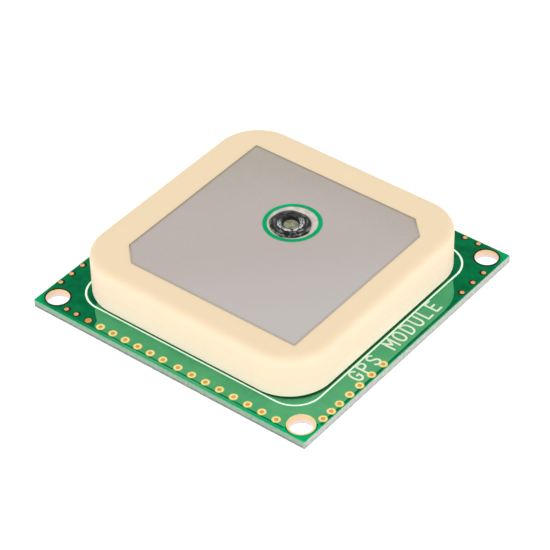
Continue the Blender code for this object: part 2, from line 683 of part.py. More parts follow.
def make_socket(plastic, contact_metal, tin):
    """The side entry socket: a moulded housing, six contacts and two solder nails."""
    back = BOARD_HALF - SOCKET_SETBACK - SOCKET_DEPTH
    mouth = BOARD_HALF - SOCKET_SETBACK
    low = UNDER_BOARD - SOCKET_HEIGHT
    side = SOCKET_LENGTH / 2
    outline = [
        (-side + SOCKET_CORNER_CUT, back),
        (side - SOCKET_CORNER_CUT, back),
        (side, back + SOCKET_CORNER_CUT),
        (side, mouth),
        (-side, mouth),
        (-side, back + SOCKET_CORNER_CUT),
    ]
    housing = plate("socket_housing", outline, [], low, UNDER_BOARD, plastic)
    cavity_length = SOCKET_LENGTH - 2 * SOCKET_WALL
    cavity_depth = SOCKET_DEPTH - SOCKET_BACK_WALL
    cavity_height = SOCKET_HEIGHT - 2 * SOCKET_FLOOR
    cavity_middle = back + SOCKET_BACK_WALL + cavity_depth / 2 + SOCKET_FLOOR
    cavity_size = (cavity_length, cavity_depth + 2 * SOCKET_FLOOR, cavity_height)
    cavity = cutter(box("socket_cavity", cavity_size, (0.0, cavity_middle), low + SOCKET_FLOOR, plastic))
    carve(housing, cavity)
    for name, offset in (("key_left", -1), ("key_right", 1)):
        key_size = (SOCKET_KEY_WIDTH, 2 * SOCKET_KEY_LENGTH, 2 * SOCKET_FLOOR)
        key_place = (offset * WAYS * WAY_PITCH / 4, mouth)
        key = cutter(box(name, key_size, key_place, low - SOCKET_FLOOR / 2, plastic))
        carve(housing, key)

    slot_size = (
        CONTACT_WIDTH + 2 * FILM,
        SOCKET_BACK_WALL + 2 * SOCKET_FLOOR,
        CONTACT_THICKNESS + 2 * FILM,
    )
    pin_level = low + SOCKET_HEIGHT / 2 - CONTACT_THICKNESS / 2
    pin_tip = back + SOCKET_BACK_WALL + CONTACT_REACH
    heel = back - CONTACT_TAIL / 2
    foot = UNDER_BOARD - CONTACT_THICKNESS
    for way in range(WAYS):
        x = (way - (WAYS - 1) / 2) * WAY_PITCH
        slot_place = (x, back + SOCKET_BACK_WALL / 2)
        slot = cutter(box(f"slot_{way + 1}", slot_size, slot_place, pin_level - FILM, plastic))
        carve(housing, slot)
        line = [(heel - CONTACT_TAIL, foot), (heel, foot), (heel, pin_level), (pin_tip, pin_level)]
        name = f"socket_contact_{way + 1}"
        place(strip(name, line, CONTACT_THICKNESS, CONTACT_WIDTH, contact_metal), (x, 0.0))

    for name, sign in (("socket_nail_left", -1), ("socket_nail_right", 1)):
        centre = (sign * (SOCKET_LENGTH / 2 + FILM + NAIL_WIDTH / 2), mouth - NAIL_LENGTH)
        size = (NAIL_WIDTH, NAIL_LENGTH, NAIL_THICKNESS)
        nail = box(name, size, centre, UNDER_BOARD - NAIL_THICKNESS, tin)
        upright_size = (NAIL_THICKNESS, NAIL_LENGTH, SOCKET_HEIGHT / 2)
        upright_x = sign * (SOCKET_LENGTH / 2 + FILM + NAIL_THICKNESS / 2)
        upright_place = (upright_x, mouth - NAIL_LENGTH)
        upright = box(f"{name}_web", upright_size, upright_place, UNDER_BOARD - SOCKET_HEIGHT / 2, tin)
        carve(nail, cutter(upright), "UNION")


def make_backup_cell(steel):
    """The coin cell, its rim crimped over the cap, and the two tabs that reach the board."""
    tab_gap = TAB_THICKNESS + 2 * FILM
    top = UNDER_BOARD - tab_gap
    bottom = top - CELL_HEIGHT
    radius = CELL_DIAMETER / 2
    cap_radius = CELL_CAP_DIAMETER / 2
    shoulder = CELL_CAP_HEIGHT / 2
    profile = [
        (0.0, top),
        (radius - shoulder, top),
        (radius, top - shoulder),
        (radius, bottom + CELL_CAP_HEIGHT + shoulder),
        (radius - shoulder, bottom + CELL_CAP_HEIGHT),
        (cap_radius, bottom + CELL_CAP_HEIGHT),
        (cap_radius, bottom + shoulder),
        (cap_radius - shoulder, bottom),
        (0.0, bottom),
    ]
    turned("backup_cell", profile, CELL_PLACE, ROUND_SIDES, steel)

    foot = UNDER_BOARD - TAB_THICKNESS
    reach = radius + TAB_FOOT
    flat = rectangle((0.0, (TAB_OVERLAP + reach) / 2 - TAB_OVERLAP), TAB_WIDTH, reach + TAB_OVERLAP)
    inner_tab = plate("cell_tab_inner", flat, [], foot, UNDER_BOARD, steel)
    place(inner_tab, CELL_PLACE, math.pi / 2)
    under = bottom - FILM
    drop = radius + 2 * TAB_THICKNESS
    line = [(cap_radius - TAB_OVERLAP, under), (drop, under), (drop, UNDER_BOARD), (reach, UNDER_BOARD)]
    outer_tab = strip("cell_tab_outer", line, -TAB_THICKNESS, TAB_WIDTH, steel)
    place(outer_tab, CELL_PLACE, -math.pi / 2)


def hang(name, size, centre, material, turn=0.0, standoff=0.0):
    """A moulded body that hangs under the board, its free edges chamfered."""
    body = box(name, size, (0.0, 0.0), UNDER_BOARD - standoff - size[2], material)
    soften(body, BODY_CHAMFER)
    return place(body, centre, turn)


def chip(name, size, centre, material, turn=0.0):
    """A chip part: a small brick whose metal end caps stand a little proud of its body."""
    length, width, height = size
    cap_length = length * CHIP_CAP_SHARE
    stations = (
        (-length / 2, 0.0),
        (-length / 2 + cap_length, 0.0),
        (-length / 2 + cap_length, CHIP_CAP_PROUD),
        (length / 2 - cap_length, CHIP_CAP_PROUD),
        (length / 2 - cap_length, 0.0),
        (length / 2, 0.0),
    )
    bm = bmesh.new()
    rings = []
    for x, step in stations:
        half = width / 2 - step
        top = UNDER_BOARD - step
        bottom = UNDER_BOARD - height + step
        corners = ((-half, bottom), (half, bottom), (half, top), (-half, top))
        rings.append([bm.verts.new((x, y, z)) for y, z in corners])
    for first, second in zip(rings, rings[1:]):
        bridge(bm, first, second)
    bm.faces.new(rings[0])
    bm.faces.new(rings[-1])
    return place(finish(name, bm, material), centre, turn)


def crystal(name, size, centre, base, turn=0.0):
    """A crystal package: a ceramic tub with a smaller metal lid on its free side."""
    length, width, height = size
    base_height = height * CRYSTAL_BASE_SHARE
    body = box(name, (length, width, base_height), (0.0, 0.0), UNDER_BOARD - base_height, base)
    lid_size = (length - 2 * CRYSTAL_LID_INSET, width - 2 * CRYSTAL_LID_INSET, height - base_height / 2)
    lid = box(f"{name}_lid", lid_size, (0.0, 0.0), UNDER_BOARD - height, base)
    soften(lid, BODY_CHAMFER)
    carve(body, cutter(lid), "UNION")
    place(lid, centre, turn)
    return place(body, centre, turn)


def make_receiver(centre, plastic):
    """The receiver chip: a moulded square with a row of lands round its foot."""
    body = hang("receiver_chip", RECEIVER_SIZE, centre, plastic)
    land_width, land_length, land_height = RECEIVER_LAND_SIZE
    reach = RECEIVER_SIZE[0] / 2 + RECEIVER_LAND_PROUD - land_length / 2
    bm = bmesh.new()
    for turn in range(4):
        spin = Matrix.Rotation(turn * math.pi / 2, 4, "Z")
        for i in range(RECEIVER_LANDS_PER_SIDE):
            x = (i - (RECEIVER_LANDS_PER_SIDE - 1) / 2) * RECEIVER_LAND_PITCH
            outline = rectangle((x, reach), land_width, land_length)
            low = [bm.verts.new(spin @ Vector((px, py, BOARD_BOTTOM - FILM - land_height))) for px, py in outline]
            high = [bm.verts.new(spin @ Vector((px, py, BOARD_BOTTOM - FILM / 2))) for px, py in outline]
            bridge(bm, low, high)
            bm.faces.new(low)
            bm.faces.new(high)
    lands = cutter(place(finish("receiver_lands", bm, plastic), centre))
    carve(body, lands, "UNION")


def make_regulator(centre, plastic, turn=0.0):
    """The voltage regulator: a small moulded body on five gull wing legs."""
    body = hang("voltage_regulator", REGULATOR_SIZE, centre, plastic, turn, standoff=REGULATOR_STANDOFF)
    edge = REGULATOR_SIZE[1] / 2
    exit_level = UNDER_BOARD - REGULATOR_STANDOFF - REGULATOR_SIZE[2] / 2
    knee = edge + REGULATOR_LEG_REACH / 3
    toe = edge + REGULATOR_LEG_REACH
    line = [(edge / 2, exit_level), (knee, exit_level), (knee, UNDER_BOARD), (toe, UNDER_BOARD)]
    bm = bmesh.new()
    legs = [(offset, 1) for offset in (-1, 0, 1)] + [(offset, -1) for offset in (-1, 1)]
    for offset, side in legs:
        across = offset * REGULATOR_LEG_PITCH
        add_strip(bm, line, -REGULATOR_LEG_THICKNESS, REGULATOR_LEG_WIDTH, across, side)
    legs_tool = cutter(place(finish("regulator_legs", bm, plastic), centre, turn))
    carve(body, legs_tool, "UNION")


def in_shield(across, along):
    """A place under the can, in shares of half its room each way from its centre."""
    walls = 2 * (2 * SHEET + SHEET_CLEARANCE)
    room_across = (SHIELD_WIDTH - walls) / 2
    room_along = (SHIELD_DEPTH - walls) / 2
    return (SHIELD_CENTRE.x + across * room_across, SHIELD_CENTRE.y + along * room_along)


def make_receiver_circuit(plastic, ceramic, chip_brown, chip_black, tin):
    """What the can screens: receiver, memory, clocks, radio front end, supply and their small parts."""
    quarter = math.pi / 2
    make_receiver(in_shield(-0.41, -0.25), plastic)
    hang("memory_chip", MEMORY_SIZE, in_shield(0.41, -0.52), plastic)
    crystal("radio_oscillator", OSCILLATOR_SIZE, in_shield(-0.72, 0.59), ceramic)
    crystal("clock_crystal", CLOCK_CRYSTAL_SIZE, in_shield(0.33, 0.05), ceramic)
    crystal("antenna_filter", FILTER_SIZE, in_shield(-0.25, 0.7), ceramic)
    hang("antenna_amplifier", AMPLIFIER_SIZE, in_shield(0.26, 0.71), plastic)
    make_regulator(in_shield(0.71, 0.62), plastic)
    hang("power_inductor", INDUCTOR_SIZE, in_shield(0.78, 0.13), tin)
    capacitors = (
        (-0.92, 0.12, quarter),
        (-0.92, -0.2, quarter),
        (-0.92, -0.52, quarter),
        (-0.47, 0.59, quarter),
        (-0.61, -0.88, 0.0),
        (-0.24, -0.88, 0.0),
        (0.14, 0.34, 0.0),
        (0.35, 0.43, 0.0),
        (0.1, -0.4, quarter),
        (0.81, -0.19, 0.0),
    )
    for number, (across, along, turn) in enumerate(capacitors, start=1):
        chip(f"capacitor_{number}", SMALL_CHIP, in_shield(across, along), chip_brown, turn)
    resistors = ((0.1, -0.7, quarter), (0.41, -0.16, 0.0), (-0.25, 0.43, 0.0))
    for number, (across, along, turn) in enumerate(resistors, start=1):
        chip(f"resistor_{number}", RESISTOR_CHIP, in_shield(across, along), chip_black, turn)


def make_open_parts(chip_brown, chip_black):
    """The small parts between the can and the socket, which stay in view."""
    row = (SHIELD_BACK + BOARD_HALF - SOCKET_SETBACK - SOCKET_DEPTH) / 2
    right = SOCKET_LENGTH / 2 + 2 * NAIL_WIDTH
    chip("supply_capacitor", LARGE_CHIP, (right + LARGE_CHIP[0], row), chip_brown)
    chip("supply_bead", LARGE_CHIP, (right + LARGE_CHIP[0], row + 2 * LARGE_CHIP[1]), chip_black)
    chip("data_resistor_1", RESISTOR_CHIP, (-RESISTOR_CHIP[0], row), chip_black)
    chip("data_resistor_2", RESISTOR_CHIP, (RESISTOR_CHIP[0], row), chip_black)


def build():
    clear_scene()
    laminate = make_material("green laminate", (0.0, 0.2, 0.07), 0.35)
    gold = make_material("gold plating", (0.85, 0.55, 0.2), 0.3, 1.0)
    ceramic = make_material("cream ceramic", (0.86, 0.74, 0.52), 0.6)
    package = make_material("package ceramic", (0.35, 0.32, 0.28), 0.5)
    silver = make_material("fired silver", (0.5, 0.47, 0.46), 0.55, 0.3)
    foam = make_material("glue pad", (0.04, 0.04, 0.045), 0.8)
    mask = make_material("stop print", (0.0, 0.45, 0.2), 0.4)
    solder = make_material("solder", (0.35, 0.35, 0.36), 0.2, 1.0)
    brass = make_material("tinned brass", (0.55, 0.52, 0.42), 0.25, 1.0)
    tin = make_material("tinned steel", (0.68, 0.69, 0.7), 0.3, 1.0)
    steel = make_material("stainless steel", (0.6, 0.6, 0.6), 0.25, 1.0)
    moulding = make_material("socket moulding", (0.8, 0.77, 0.68), 0.5)
    plastic = make_material("black moulding", (0.02, 0.02, 0.022), 0.6)
    chip_brown = make_material("chip ceramic", (0.45, 0.3, 0.18), 0.5)
    chip_black = make_material("chip glaze", (0.03, 0.03, 0.035), 0.4)

    make_board(laminate)
    make_corner_barrels(gold)
    make_ceramic_block(ceramic)
    make_pad_and_silver(foam, silver)
    make_patch(silver, mask)
    make_feed_pin(brass, solder)
    make_shield_lid(tin)
    make_shield_frame(tin)
    make_socket(moulding, brass, tin)
    make_backup_cell(steel)
    make_receiver_circuit(plastic, package, chip_brown, chip_black, tin)
    make_open_parts(chip_brown, chip_black)


build()
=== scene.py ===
# %% [markdown]
# # A satellite positioning module and its finishes
# The object is a small square circuit board. It carries a ceramic patch antenna on its upper side, and a
# screened receiver, a backup cell and a six way socket underneath. A plain frame of it exists already, with
# every piece in its real place. This lesson gives the frame its looks: finer surfaces where the eye goes, and
# a finish for every piece.
#
# Lengths are in millimetres until a mesh is made, and in metres inside Blender. The origin is the centre of the
# board's outline, on the plane that the screening lid rests on. Seen from above, -Y is the front left edge of
# the board and +X is the front right one.

import bpy
import numpy as np
from mathutils import Matrix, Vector
from mathutils.geometry import delaunay_2d_cdt


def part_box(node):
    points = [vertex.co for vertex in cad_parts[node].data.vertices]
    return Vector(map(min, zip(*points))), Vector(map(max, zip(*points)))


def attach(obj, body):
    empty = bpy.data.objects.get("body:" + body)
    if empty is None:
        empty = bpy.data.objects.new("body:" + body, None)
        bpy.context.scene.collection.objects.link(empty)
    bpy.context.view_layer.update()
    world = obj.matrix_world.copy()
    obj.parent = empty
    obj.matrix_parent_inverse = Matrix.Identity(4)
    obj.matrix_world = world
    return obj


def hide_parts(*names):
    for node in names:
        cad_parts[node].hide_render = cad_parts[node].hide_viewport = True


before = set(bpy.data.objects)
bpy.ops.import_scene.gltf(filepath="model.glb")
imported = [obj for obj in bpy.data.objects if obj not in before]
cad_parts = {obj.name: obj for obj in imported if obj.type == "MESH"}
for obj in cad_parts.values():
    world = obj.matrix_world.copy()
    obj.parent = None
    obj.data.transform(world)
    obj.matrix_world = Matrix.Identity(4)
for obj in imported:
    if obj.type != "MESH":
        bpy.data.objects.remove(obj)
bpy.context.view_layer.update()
MM = 0.001
BODY = "root"
print("nodes in the frame:", len(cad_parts))


# %% [markdown]
# ## Measures that come from the frame
# A finer piece has to sit exactly where the plain one sits. So heights and places are read from the boxes of
# the nodes, and not typed again. If the frame grows a little, the finer pieces follow.

# %% Read the levels
def node_box(node):
    """The lowest and highest corner of a node of the frame, in millimetres."""
    low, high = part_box(node)
    return np.array(low) / MM, np.array(high) / MM


VIA_LAND_HEIGHT = 0.035
board_low, board_high = node_box("circuit_board")
block_low, block_high = node_box("ceramic_block")
patch_low, patch_high = node_box("patch_silver")
ring_low, ring_high = node_box("solder_stop_ring")
solder_low, solder_high = node_box("feed_solder")
pin_low = node_box("feed_pin")[0]
cell_low, cell_high = node_box("backup_cell")
can_low, can_high = node_box("shield_lid")
BOARD_HALF = board_high[0]
BOARD_BOTTOM = board_low[2]
BOARD_TOP = board_high[2] - VIA_LAND_HEIGHT
PATCH_CENTRE = (patch_low + patch_high)[:2] / 2
PATCH_HALF = (patch_high - patch_low)[0] / 2
FEED = (ring_low + ring_high)[:2] / 2
print(f"board from {BOARD_BOTTOM:.3f} to {BOARD_TOP:.3f}, block from {block_low[2]:.3f} to {block_high[2]:.3f}")

# %% [markdown]
# ## The camera
# A product photograph of so small a thing is taken with a long lens from some way off, so that its edges stay
# almost parallel. The camera stands a little to the right of the front corner and looks down by 40 degrees.
# The placing comes from three directions at right angles, which makes the small tilt of the picture easy to add.

# %% Place the camera
AZIMUTH = np.radians(39.067)
ELEVATION = np.radians(40.218)
ROLL = np.radians(-1.445)
DISTANCE = 223.275
ASIDE = (0.116, 0.195)
SENSOR = 36.0
LENS = 165.247


def camera_axes(azimuth, elevation, roll):
    """The camera's right, up and back directions.

    Back points from the object to the camera: (sin a cos e, -cos a cos e, sin e). Right is level and at right
    angles to it, up is their cross product, and the roll turns both about back.
    """
    level = np.array([np.cos(azimuth), np.sin(azimuth), 0.0])
    back = np.array([np.sin(azimuth), -np.cos(azimuth), np.tan(elevation)]) * np.cos(elevation)
    upright = np.cross(back, level)
    right = np.cos(roll) * level + np.sin(roll) * upright
    up = np.cos(roll) * upright - np.sin(roll) * level
    return right, up, back


right, up, back = camera_axes(AZIMUTH, ELEVATION, ROLL)
place = back * DISTANCE + right * ASIDE[0] + up * ASIDE[1] + np.array([0.0, 0.0, BOARD_TOP])
camera = bpy.data.objects.new("camera", bpy.data.cameras.new("camera"))
bpy.context.scene.collection.objects.link(camera)
pose = np.eye(4)
pose[:3] = np.column_stack([right, up, back, place * MM])
camera.matrix_world = Matrix(pose.tolist())
camera.data.lens = LENS
camera.data.sensor_width = SENSOR
camera.data.clip_start = 0.01
bpy.context.scene.camera = camera
print("camera at", (place * MM).round(4))

# %% [markdown]
# ## Nodes in one call
# Every finish below is a small tree of shader nodes. A helper that makes a node, sets what it needs and joins
# its inputs keeps each tree readable: a value goes into a socket, and a socket becomes a link.

# %% Helpers for shader trees
def add_node(tree, kind, inputs=None, **settings):
    """One node of a tree, with its settings, and its inputs as values or as sockets to join."""
    made = tree.nodes.new(kind)
    for key, value in settings.items():
        setattr(made, key, value)
    for key, value in (inputs or {}).items():
        if isinstance(value, bpy.types.NodeSocket):
            tree.links.new(value, made.inputs[key])
        else:
            made.inputs[key].default_value = value
    return made


def do_math(tree, operation, first, second=0.0):
    """The result of one sum on numbers that change over the surface."""
    return add_node(tree, "ShaderNodeMath", {0: first, 1: second}, operation=operation).outputs[0]


def between(tree, value, start, end, low=0.0, high=1.0):
    """A number that goes from low to high while the value goes from start to end, and stays inside them."""
    given = {"Value": value, "From Min": start, "From Max": end, "To Min": low, "To Max": high}
    return add_node(tree, "ShaderNodeMapRange", given).outputs[0]


def blend(tree, share, first, second):
    """The first colour where the share is 0, and the second where it is 1."""
    given = {0: share, 6: first, 7: second}
    return add_node(tree, "ShaderNodeMix", given, data_type="RGBA").outputs[2]


def seen(red, green, blue):
    """A colour as a screen shows it, from 0 to 255, in the linear numbers of a shader."""
    share = np.array([red, green, blue]) / 255
    linear = np.where(share < 0.04045, share / 12.92, ((share + 0.055) / 1.055) ** 2.4)
    return (*linear.tolist(), 1.0)


# %% [markdown]
# ## The studio
# The photograph has a pure white ground and light from all sides, a little more from the front than from above.
# A floor that only reflects would turn grey round the object, so this one also glows. Its underside lets the
# view through, so that the object can be looked at from below. The sky is a soft white that is dimmer overhead,
# which keeps the upright sides of the block paler than its top, and two broad lamps stand in front.

# %% Floor, sky and lamps
def make_floor():
    """A wide white square that glows upwards and can be looked through from below."""
    side = 3.0
    corners = np.array([[-1, -1, 0], [1, -1, 0], [1, 1, 0], [-1, 1, 0]]) * side
    mesh = bpy.data.meshes.new("floor")
    mesh.from_pydata(corners.tolist(), [], [(0, 1, 2, 3)])
    made = bpy.data.objects.new("floor", mesh)
    bpy.context.scene.collection.objects.link(made)
    paper = bpy.data.materials.new("floor_paper")
    paper.use_nodes = True
    tree = paper.node_tree
    tree.nodes.remove(tree.nodes["Principled BSDF"])
    matt = add_node(tree, "ShaderNodeBsdfDiffuse", {"Color": (0.25, 0.25, 0.25, 1.0)})
    glow = add_node(tree, "ShaderNodeEmission", {"Color": (1.0, 1.0, 1.0, 1.0), "Strength": 0.95})
    both = add_node(tree, "ShaderNodeAddShader", {0: matt.outputs[0], 1: glow.outputs[0]})
    clear = add_node(tree, "ShaderNodeBsdfTransparent")
    below = add_node(tree, "ShaderNodeNewGeometry").outputs["Backfacing"]
    sides = add_node(tree, "ShaderNodeMixShader", {0: below, 1: both.outputs[0], 2: clear.outputs[0]})
    tree.links.new(sides.outputs[0], tree.nodes["Material Output"].inputs["Surface"])
    mesh.materials.append(paper)


def make_sky(overhead, level):
    """A sky whose brightness falls from the horizon to straight overhead."""
    world = bpy.data.worlds.new("studio")
    world.use_nodes = True
    tree = world.node_tree
    direction = add_node(tree, "ShaderNodeTexCoord").outputs["Generated"]
    height = add_node(tree, "ShaderNodeSeparateXYZ", {0: direction}).outputs["Z"]
    strength = between(tree, height, 0.0, 1.0, level, overhead)
    tree.links.new(strength, tree.nodes["Background"].inputs["Strength"])
    tree.nodes["Background"].inputs["Color"].default_value = (1.0, 1.0, 1.0, 1.0)
    bpy.context.scene.world = world


def add_lamp(name, azimuth, elevation, distance, size, radiance):
    """A square soft lamp that looks at the origin. Its power is radiance times its area times pi."""
    a, e = np.radians(azimuth), np.radians(elevation)
    right, up, back = camera_axes(a, e, 0.0)
    data = bpy.data.lights.new(name, "AREA")
    data.shape = "SQUARE"
    data.size = size
    data.energy = radiance * size * size * np.pi
    lamp = bpy.data.objects.new(name, data)
    bpy.context.scene.collection.objects.link(lamp)
    place = np.eye(4)
    place[:3] = np.column_stack([right, up, back, back * distance])
    lamp.matrix_world = Matrix(place.tolist())


make_floor()
make_sky(overhead=0.74, level=1.18)
add_lamp("lamp_front", -10, 22, 0.8, 0.5, 1.25)
add_lamp("lamp_right", 100, 20, 0.8, 0.5, 1.25)
bpy.context.scene.view_settings.view_transform = "Standard"
print("lamps:", [lamp.name for lamp in bpy.data.lights])

# %% [markdown]
# ## Grain and ripple
# No real surface is one flat colour. Ceramic has pores, solder mask has waves, and sheet metal has the lines of
# the rolls. One node group gives two noises, a fine one and a broad one, that a finish stretches and scales as
# it needs. A second group gives rings about a point, for things that were turned or that froze while round.

# %% Shared node groups
def new_group(name, inputs, outputs):
    """An empty shader node group with named sockets."""
    group = bpy.data.node_groups.new(name, "ShaderNodeTree")
    for key, kind in inputs.items():
        group.interface.new_socket(key, in_out="INPUT", socket_type=kind)
    for key in outputs:
        group.interface.new_socket(key, in_out="OUTPUT", socket_type="NodeSocketFloat")
    return group, add_node(group, "NodeGroupInput").outputs


def make_grain():
    """Two noises on the object's own coordinates, the broad one eight times as coarse as the fine one."""
    inputs = {"Scale": "NodeSocketFloat", "Stretch": "NodeSocketVector"}
    group, given = new_group("grain", inputs, ("Fine", "Broad"))
    spot = add_node(group, "ShaderNodeTexCoord").outputs["Object"]
    pulled = add_node(group, "ShaderNodeVectorMath", {0: spot, 1: given["Stretch"]}, operation="MULTIPLY")
    results = []
    for share, detail in ((1.0, 4.0), (0.125, 2.0)):
        scale = do_math(group, "MULTIPLY", given["Scale"], share)
        noise = {"Vector": pulled.outputs[0], "Scale": scale, "Detail": detail, "Roughness": 0.6}
        results.append(add_node(group, "ShaderNodeTexNoise", noise).outputs[0])
    add_node(group, "NodeGroupOutput", {"Fine": results[0], "Broad": results[1]})
    return group


def make_ripple():
    """Rings about an upright axis: half of 1 + sin(2 pi distance / spacing), and the distance itself."""
    inputs = {"Centre": "NodeSocketVector", "Spacing": "NodeSocketFloat"}
    group, given = new_group("ripple", inputs, ("Ripple", "Distance"))
    spot = add_node(group, "ShaderNodeTexCoord").outputs["Object"]
    away = add_node(group, "ShaderNodeVectorMath", {0: spot, 1: given["Centre"]}, operation="SUBTRACT")
    flat = {0: away.outputs[0], 1: (1.0, 1.0, 0.0)}
    level = add_node(group, "ShaderNodeVectorMath", flat, operation="MULTIPLY")
    distance = add_node(group, "ShaderNodeVectorMath", {0: level.outputs[0]}, operation="LENGTH").outputs[1]
    turns = do_math(group, "DIVIDE", distance, given["Spacing"])
    wave = do_math(group, "SINE", do_math(group, "MULTIPLY", turns, 2 * np.pi))
    half = do_math(group, "MULTIPLY", do_math(group, "ADD", wave, 1.0), 0.5)
    add_node(group, "NodeGroupOutput", {"Ripple": half, "Distance": distance})
    return group


grain_group = make_grain()
ripple_group = make_ripple()
print("groups:", grain_group.name, ripple_group.name)

# %% [markdown]
# ## Finishes
# Most finishes differ only in their numbers: two tones that the grain mixes, how glossy they are, whether they
# are metal, and how deep the grain stands. One function makes them all. What is the same all over a surface is
# set on the shader itself, and only what changes comes from the grain.

# %% The common finish
def finish(name, tone, other, roughness, grain=5.0, stretch=(1, 1, 1), metallic=0.0, specular=0.5, depth=0.0):
    """A material whose colour, gloss and height follow a grain of so many waves to the millimetre."""
    made = bpy.data.materials.new(name)
    made.use_nodes = True
    tree = made.node_tree
    shader = tree.nodes["Principled BSDF"]
    shader.inputs["Metallic"].default_value = metallic
    shader.inputs["Specular IOR Level"].default_value = specular
    given = {"Scale": grain / MM, "Stretch": stretch}
    spots = add_node(tree, "ShaderNodeGroup", given, node_tree=grain_group).outputs
    both = do_math(tree, "MULTIPLY", do_math(tree, "ADD", spots["Fine"], spots["Broad"]), 0.5)
    colour = blend(tree, between(tree, both, 0.36, 0.64), tone, other)
    tree.links.new(colour, shader.inputs["Base Color"])
    gloss = between(tree, spots["Broad"], 0.3, 0.7, *roughness)
    tree.links.new(gloss, shader.inputs["Roughness"])
    if depth:
        given = {"Height": spots["Fine"], "Distance": depth * MM}
        bump = add_node(tree, "ShaderNodeBump", given)
        tree.links.new(bump.outputs[0], shader.inputs["Normal"])
    return made


mask_dark = finish("mask_dark", seen(0, 100, 62), seen(0, 124, 72), (0.3, 0.4), 0.8, specular=0.02, depth=0.002)
mask_light = finish("mask_light", seen(72, 162, 110), seen(92, 176, 122), (0.3, 0.4), 0.8, specular=0.02, depth=0.002)
mask_bright = finish("mask_bright", seen(0, 162, 98), seen(6, 180, 114), (0.3, 0.4), 2, specular=0.01, depth=0.002)
mask_vivid = finish("mask_vivid", seen(0, 176, 108), seen(0, 194, 122), (0.3, 0.4), 2, specular=0.01, depth=0.002)
silk = finish("silk_print", seen(228, 248, 226), seen(240, 255, 238), (0.5, 0.7), 8, depth=0.004)
gold = finish("gold_plating", seen(253, 244, 178), seen(247, 235, 150), (0.3, 0.45), 8, metallic=0.3, depth=0.003)
rim_gold = finish("rim_gold", seen(243, 218, 156), seen(252, 236, 196), (0.3, 0.5), 3, metallic=0.4, depth=0.003)
bore_gold = finish("bore_gold", seen(234, 174, 86), seen(222, 152, 60), (0.35, 0.5), 8, metallic=0.2, depth=0.003)
copper = finish("bare_copper", seen(238, 166, 98), seen(224, 148, 80), (0.35, 0.5), 8, metallic=0.2, depth=0.003)
# Painted shade for the darker brim at the edge of the broad via lands.
brim_painted_shade = finish("brim_painted_shade", seen(226, 216, 128), seen(206, 192, 100), (0.35, 0.5), 8, metallic=0.2, depth=0.003)
tan_gold = finish("tan_gold", seen(248, 206, 138), seen(232, 172, 94), (0.35, 0.5), 3, metallic=0.3, depth=0.003)
# Painted shade for the dark rings round the small vias and the corner holes.
hollow_shade_paint = finish("mask_hollow_painted_shade", seen(6, 22, 14), seen(14, 34, 22), (0.4, 0.6), 8, specular=0.2)
solder = finish("solder", seen(200, 200, 204), seen(222, 222, 226), (0.2, 0.35), 4, metallic=1.0, depth=0.01)
tin = finish("tinned_sheet", seen(206, 207, 209), seen(222, 223, 225), (0.22, 0.4), 3, (1, 0.03, 1), metallic=1.0, depth=0.004)
steel = finish("cell_steel", seen(196, 195, 192), seen(214, 213, 210), (0.2, 0.35), 6, metallic=1.0, depth=0.003)
brass = finish("tinned_brass", seen(226, 210, 170), seen(236, 222, 188), (0.25, 0.4), 6, metallic=1.0, depth=0.003)
pad_foam = finish("glue_pad", seen(34, 40, 36), seen(48, 54, 50), (0.7, 0.9), 6, depth=0.01)
# Painted shadow for the shaded gap under the ceramic block.
painted_gap_shadow = finish("painted_gap_shadow", seen(14, 100, 56), seen(44, 110, 62), (0.5, 0.7), 2, specular=0.1, depth=0.005)
letter_ink = finish("letter_ink", seen(226, 240, 218), seen(238, 248, 230), (0.5, 0.7), 8, depth=0.004)
moulding = finish("socket_moulding", seen(226, 219, 200), seen(234, 228, 211), (0.45, 0.6), 6, depth=0.005)
plastic = finish("black_moulding", seen(30, 30, 32), seen(44, 44, 46), (0.5, 0.7), 10, depth=0.006)
package = finish("package_ceramic", seen(92, 84, 74), seen(108, 100, 90), (0.4, 0.6), 8, depth=0.004)
core_dark = finish("inductor_core", seen(58, 58, 62), seen(74, 74, 78), (0.6, 0.8), 8, depth=0.01)
chip_tan = finish("capacitor_ceramic", seen(172, 134, 96), seen(186, 150, 112), (0.4, 0.55), 8, depth=0.004)
chip_black = finish("chip_glaze", seen(26, 27, 30), seen(38, 39, 42), (0.25, 0.4), 8, depth=0.003)
# The white print also glows faintly. This is painted light that lifts the print where the block shades it.
glowing_silk_shader = silk.node_tree.nodes["Principled BSDF"]
glowing_silk_shader.inputs["Emission Color"].default_value = seen(212, 255, 220)
glowing_silk_shader.inputs["Emission Strength"].default_value = 0.32
print("finishes:", len(bpy.data.materials))

# %% [markdown]
# ## Finishes with a structure
# Some finishes change from place to place. The mask is brighter in the corners, where copper lies under it. The
# cut edge of the laminate shows its layers of glass cloth. The plating in a hole is deep gold near the top and
# pale below, where white light comes in. The pressed ceramic is pitted, and its colour is painted light: tan on
# its top and paler at its foot. The fired silver has a darker rim along its two back edges and a painted sheen
# that makes it lighter at the front. The solder round the pin is painted dark as a painted reflection, with
# mottled painted highlights at the front, and the pin's hollow head has an olive floor, a throat of painted
# black shade and a rim of painted highlights.

# %% Helpers for these finishes
def bare(name, metallic, specular):
    """A new material, its tree and its shader, with the numbers that hold all over."""
    made = bpy.data.materials.new(name)
    made.use_nodes = True
    shader = made.node_tree.nodes["Principled BSDF"]
    shader.inputs["Metallic"].default_value = metallic
    shader.inputs["Specular IOR Level"].default_value = specular
    return made, made.node_tree, shader


def spots_of(tree, grain, stretch=(1, 1, 1)):
    """The two noises of the grain group in a tree."""
    return add_node(tree, "ShaderNodeGroup", {"Scale": grain / MM, "Stretch": stretch}, node_tree=grain_group).outputs


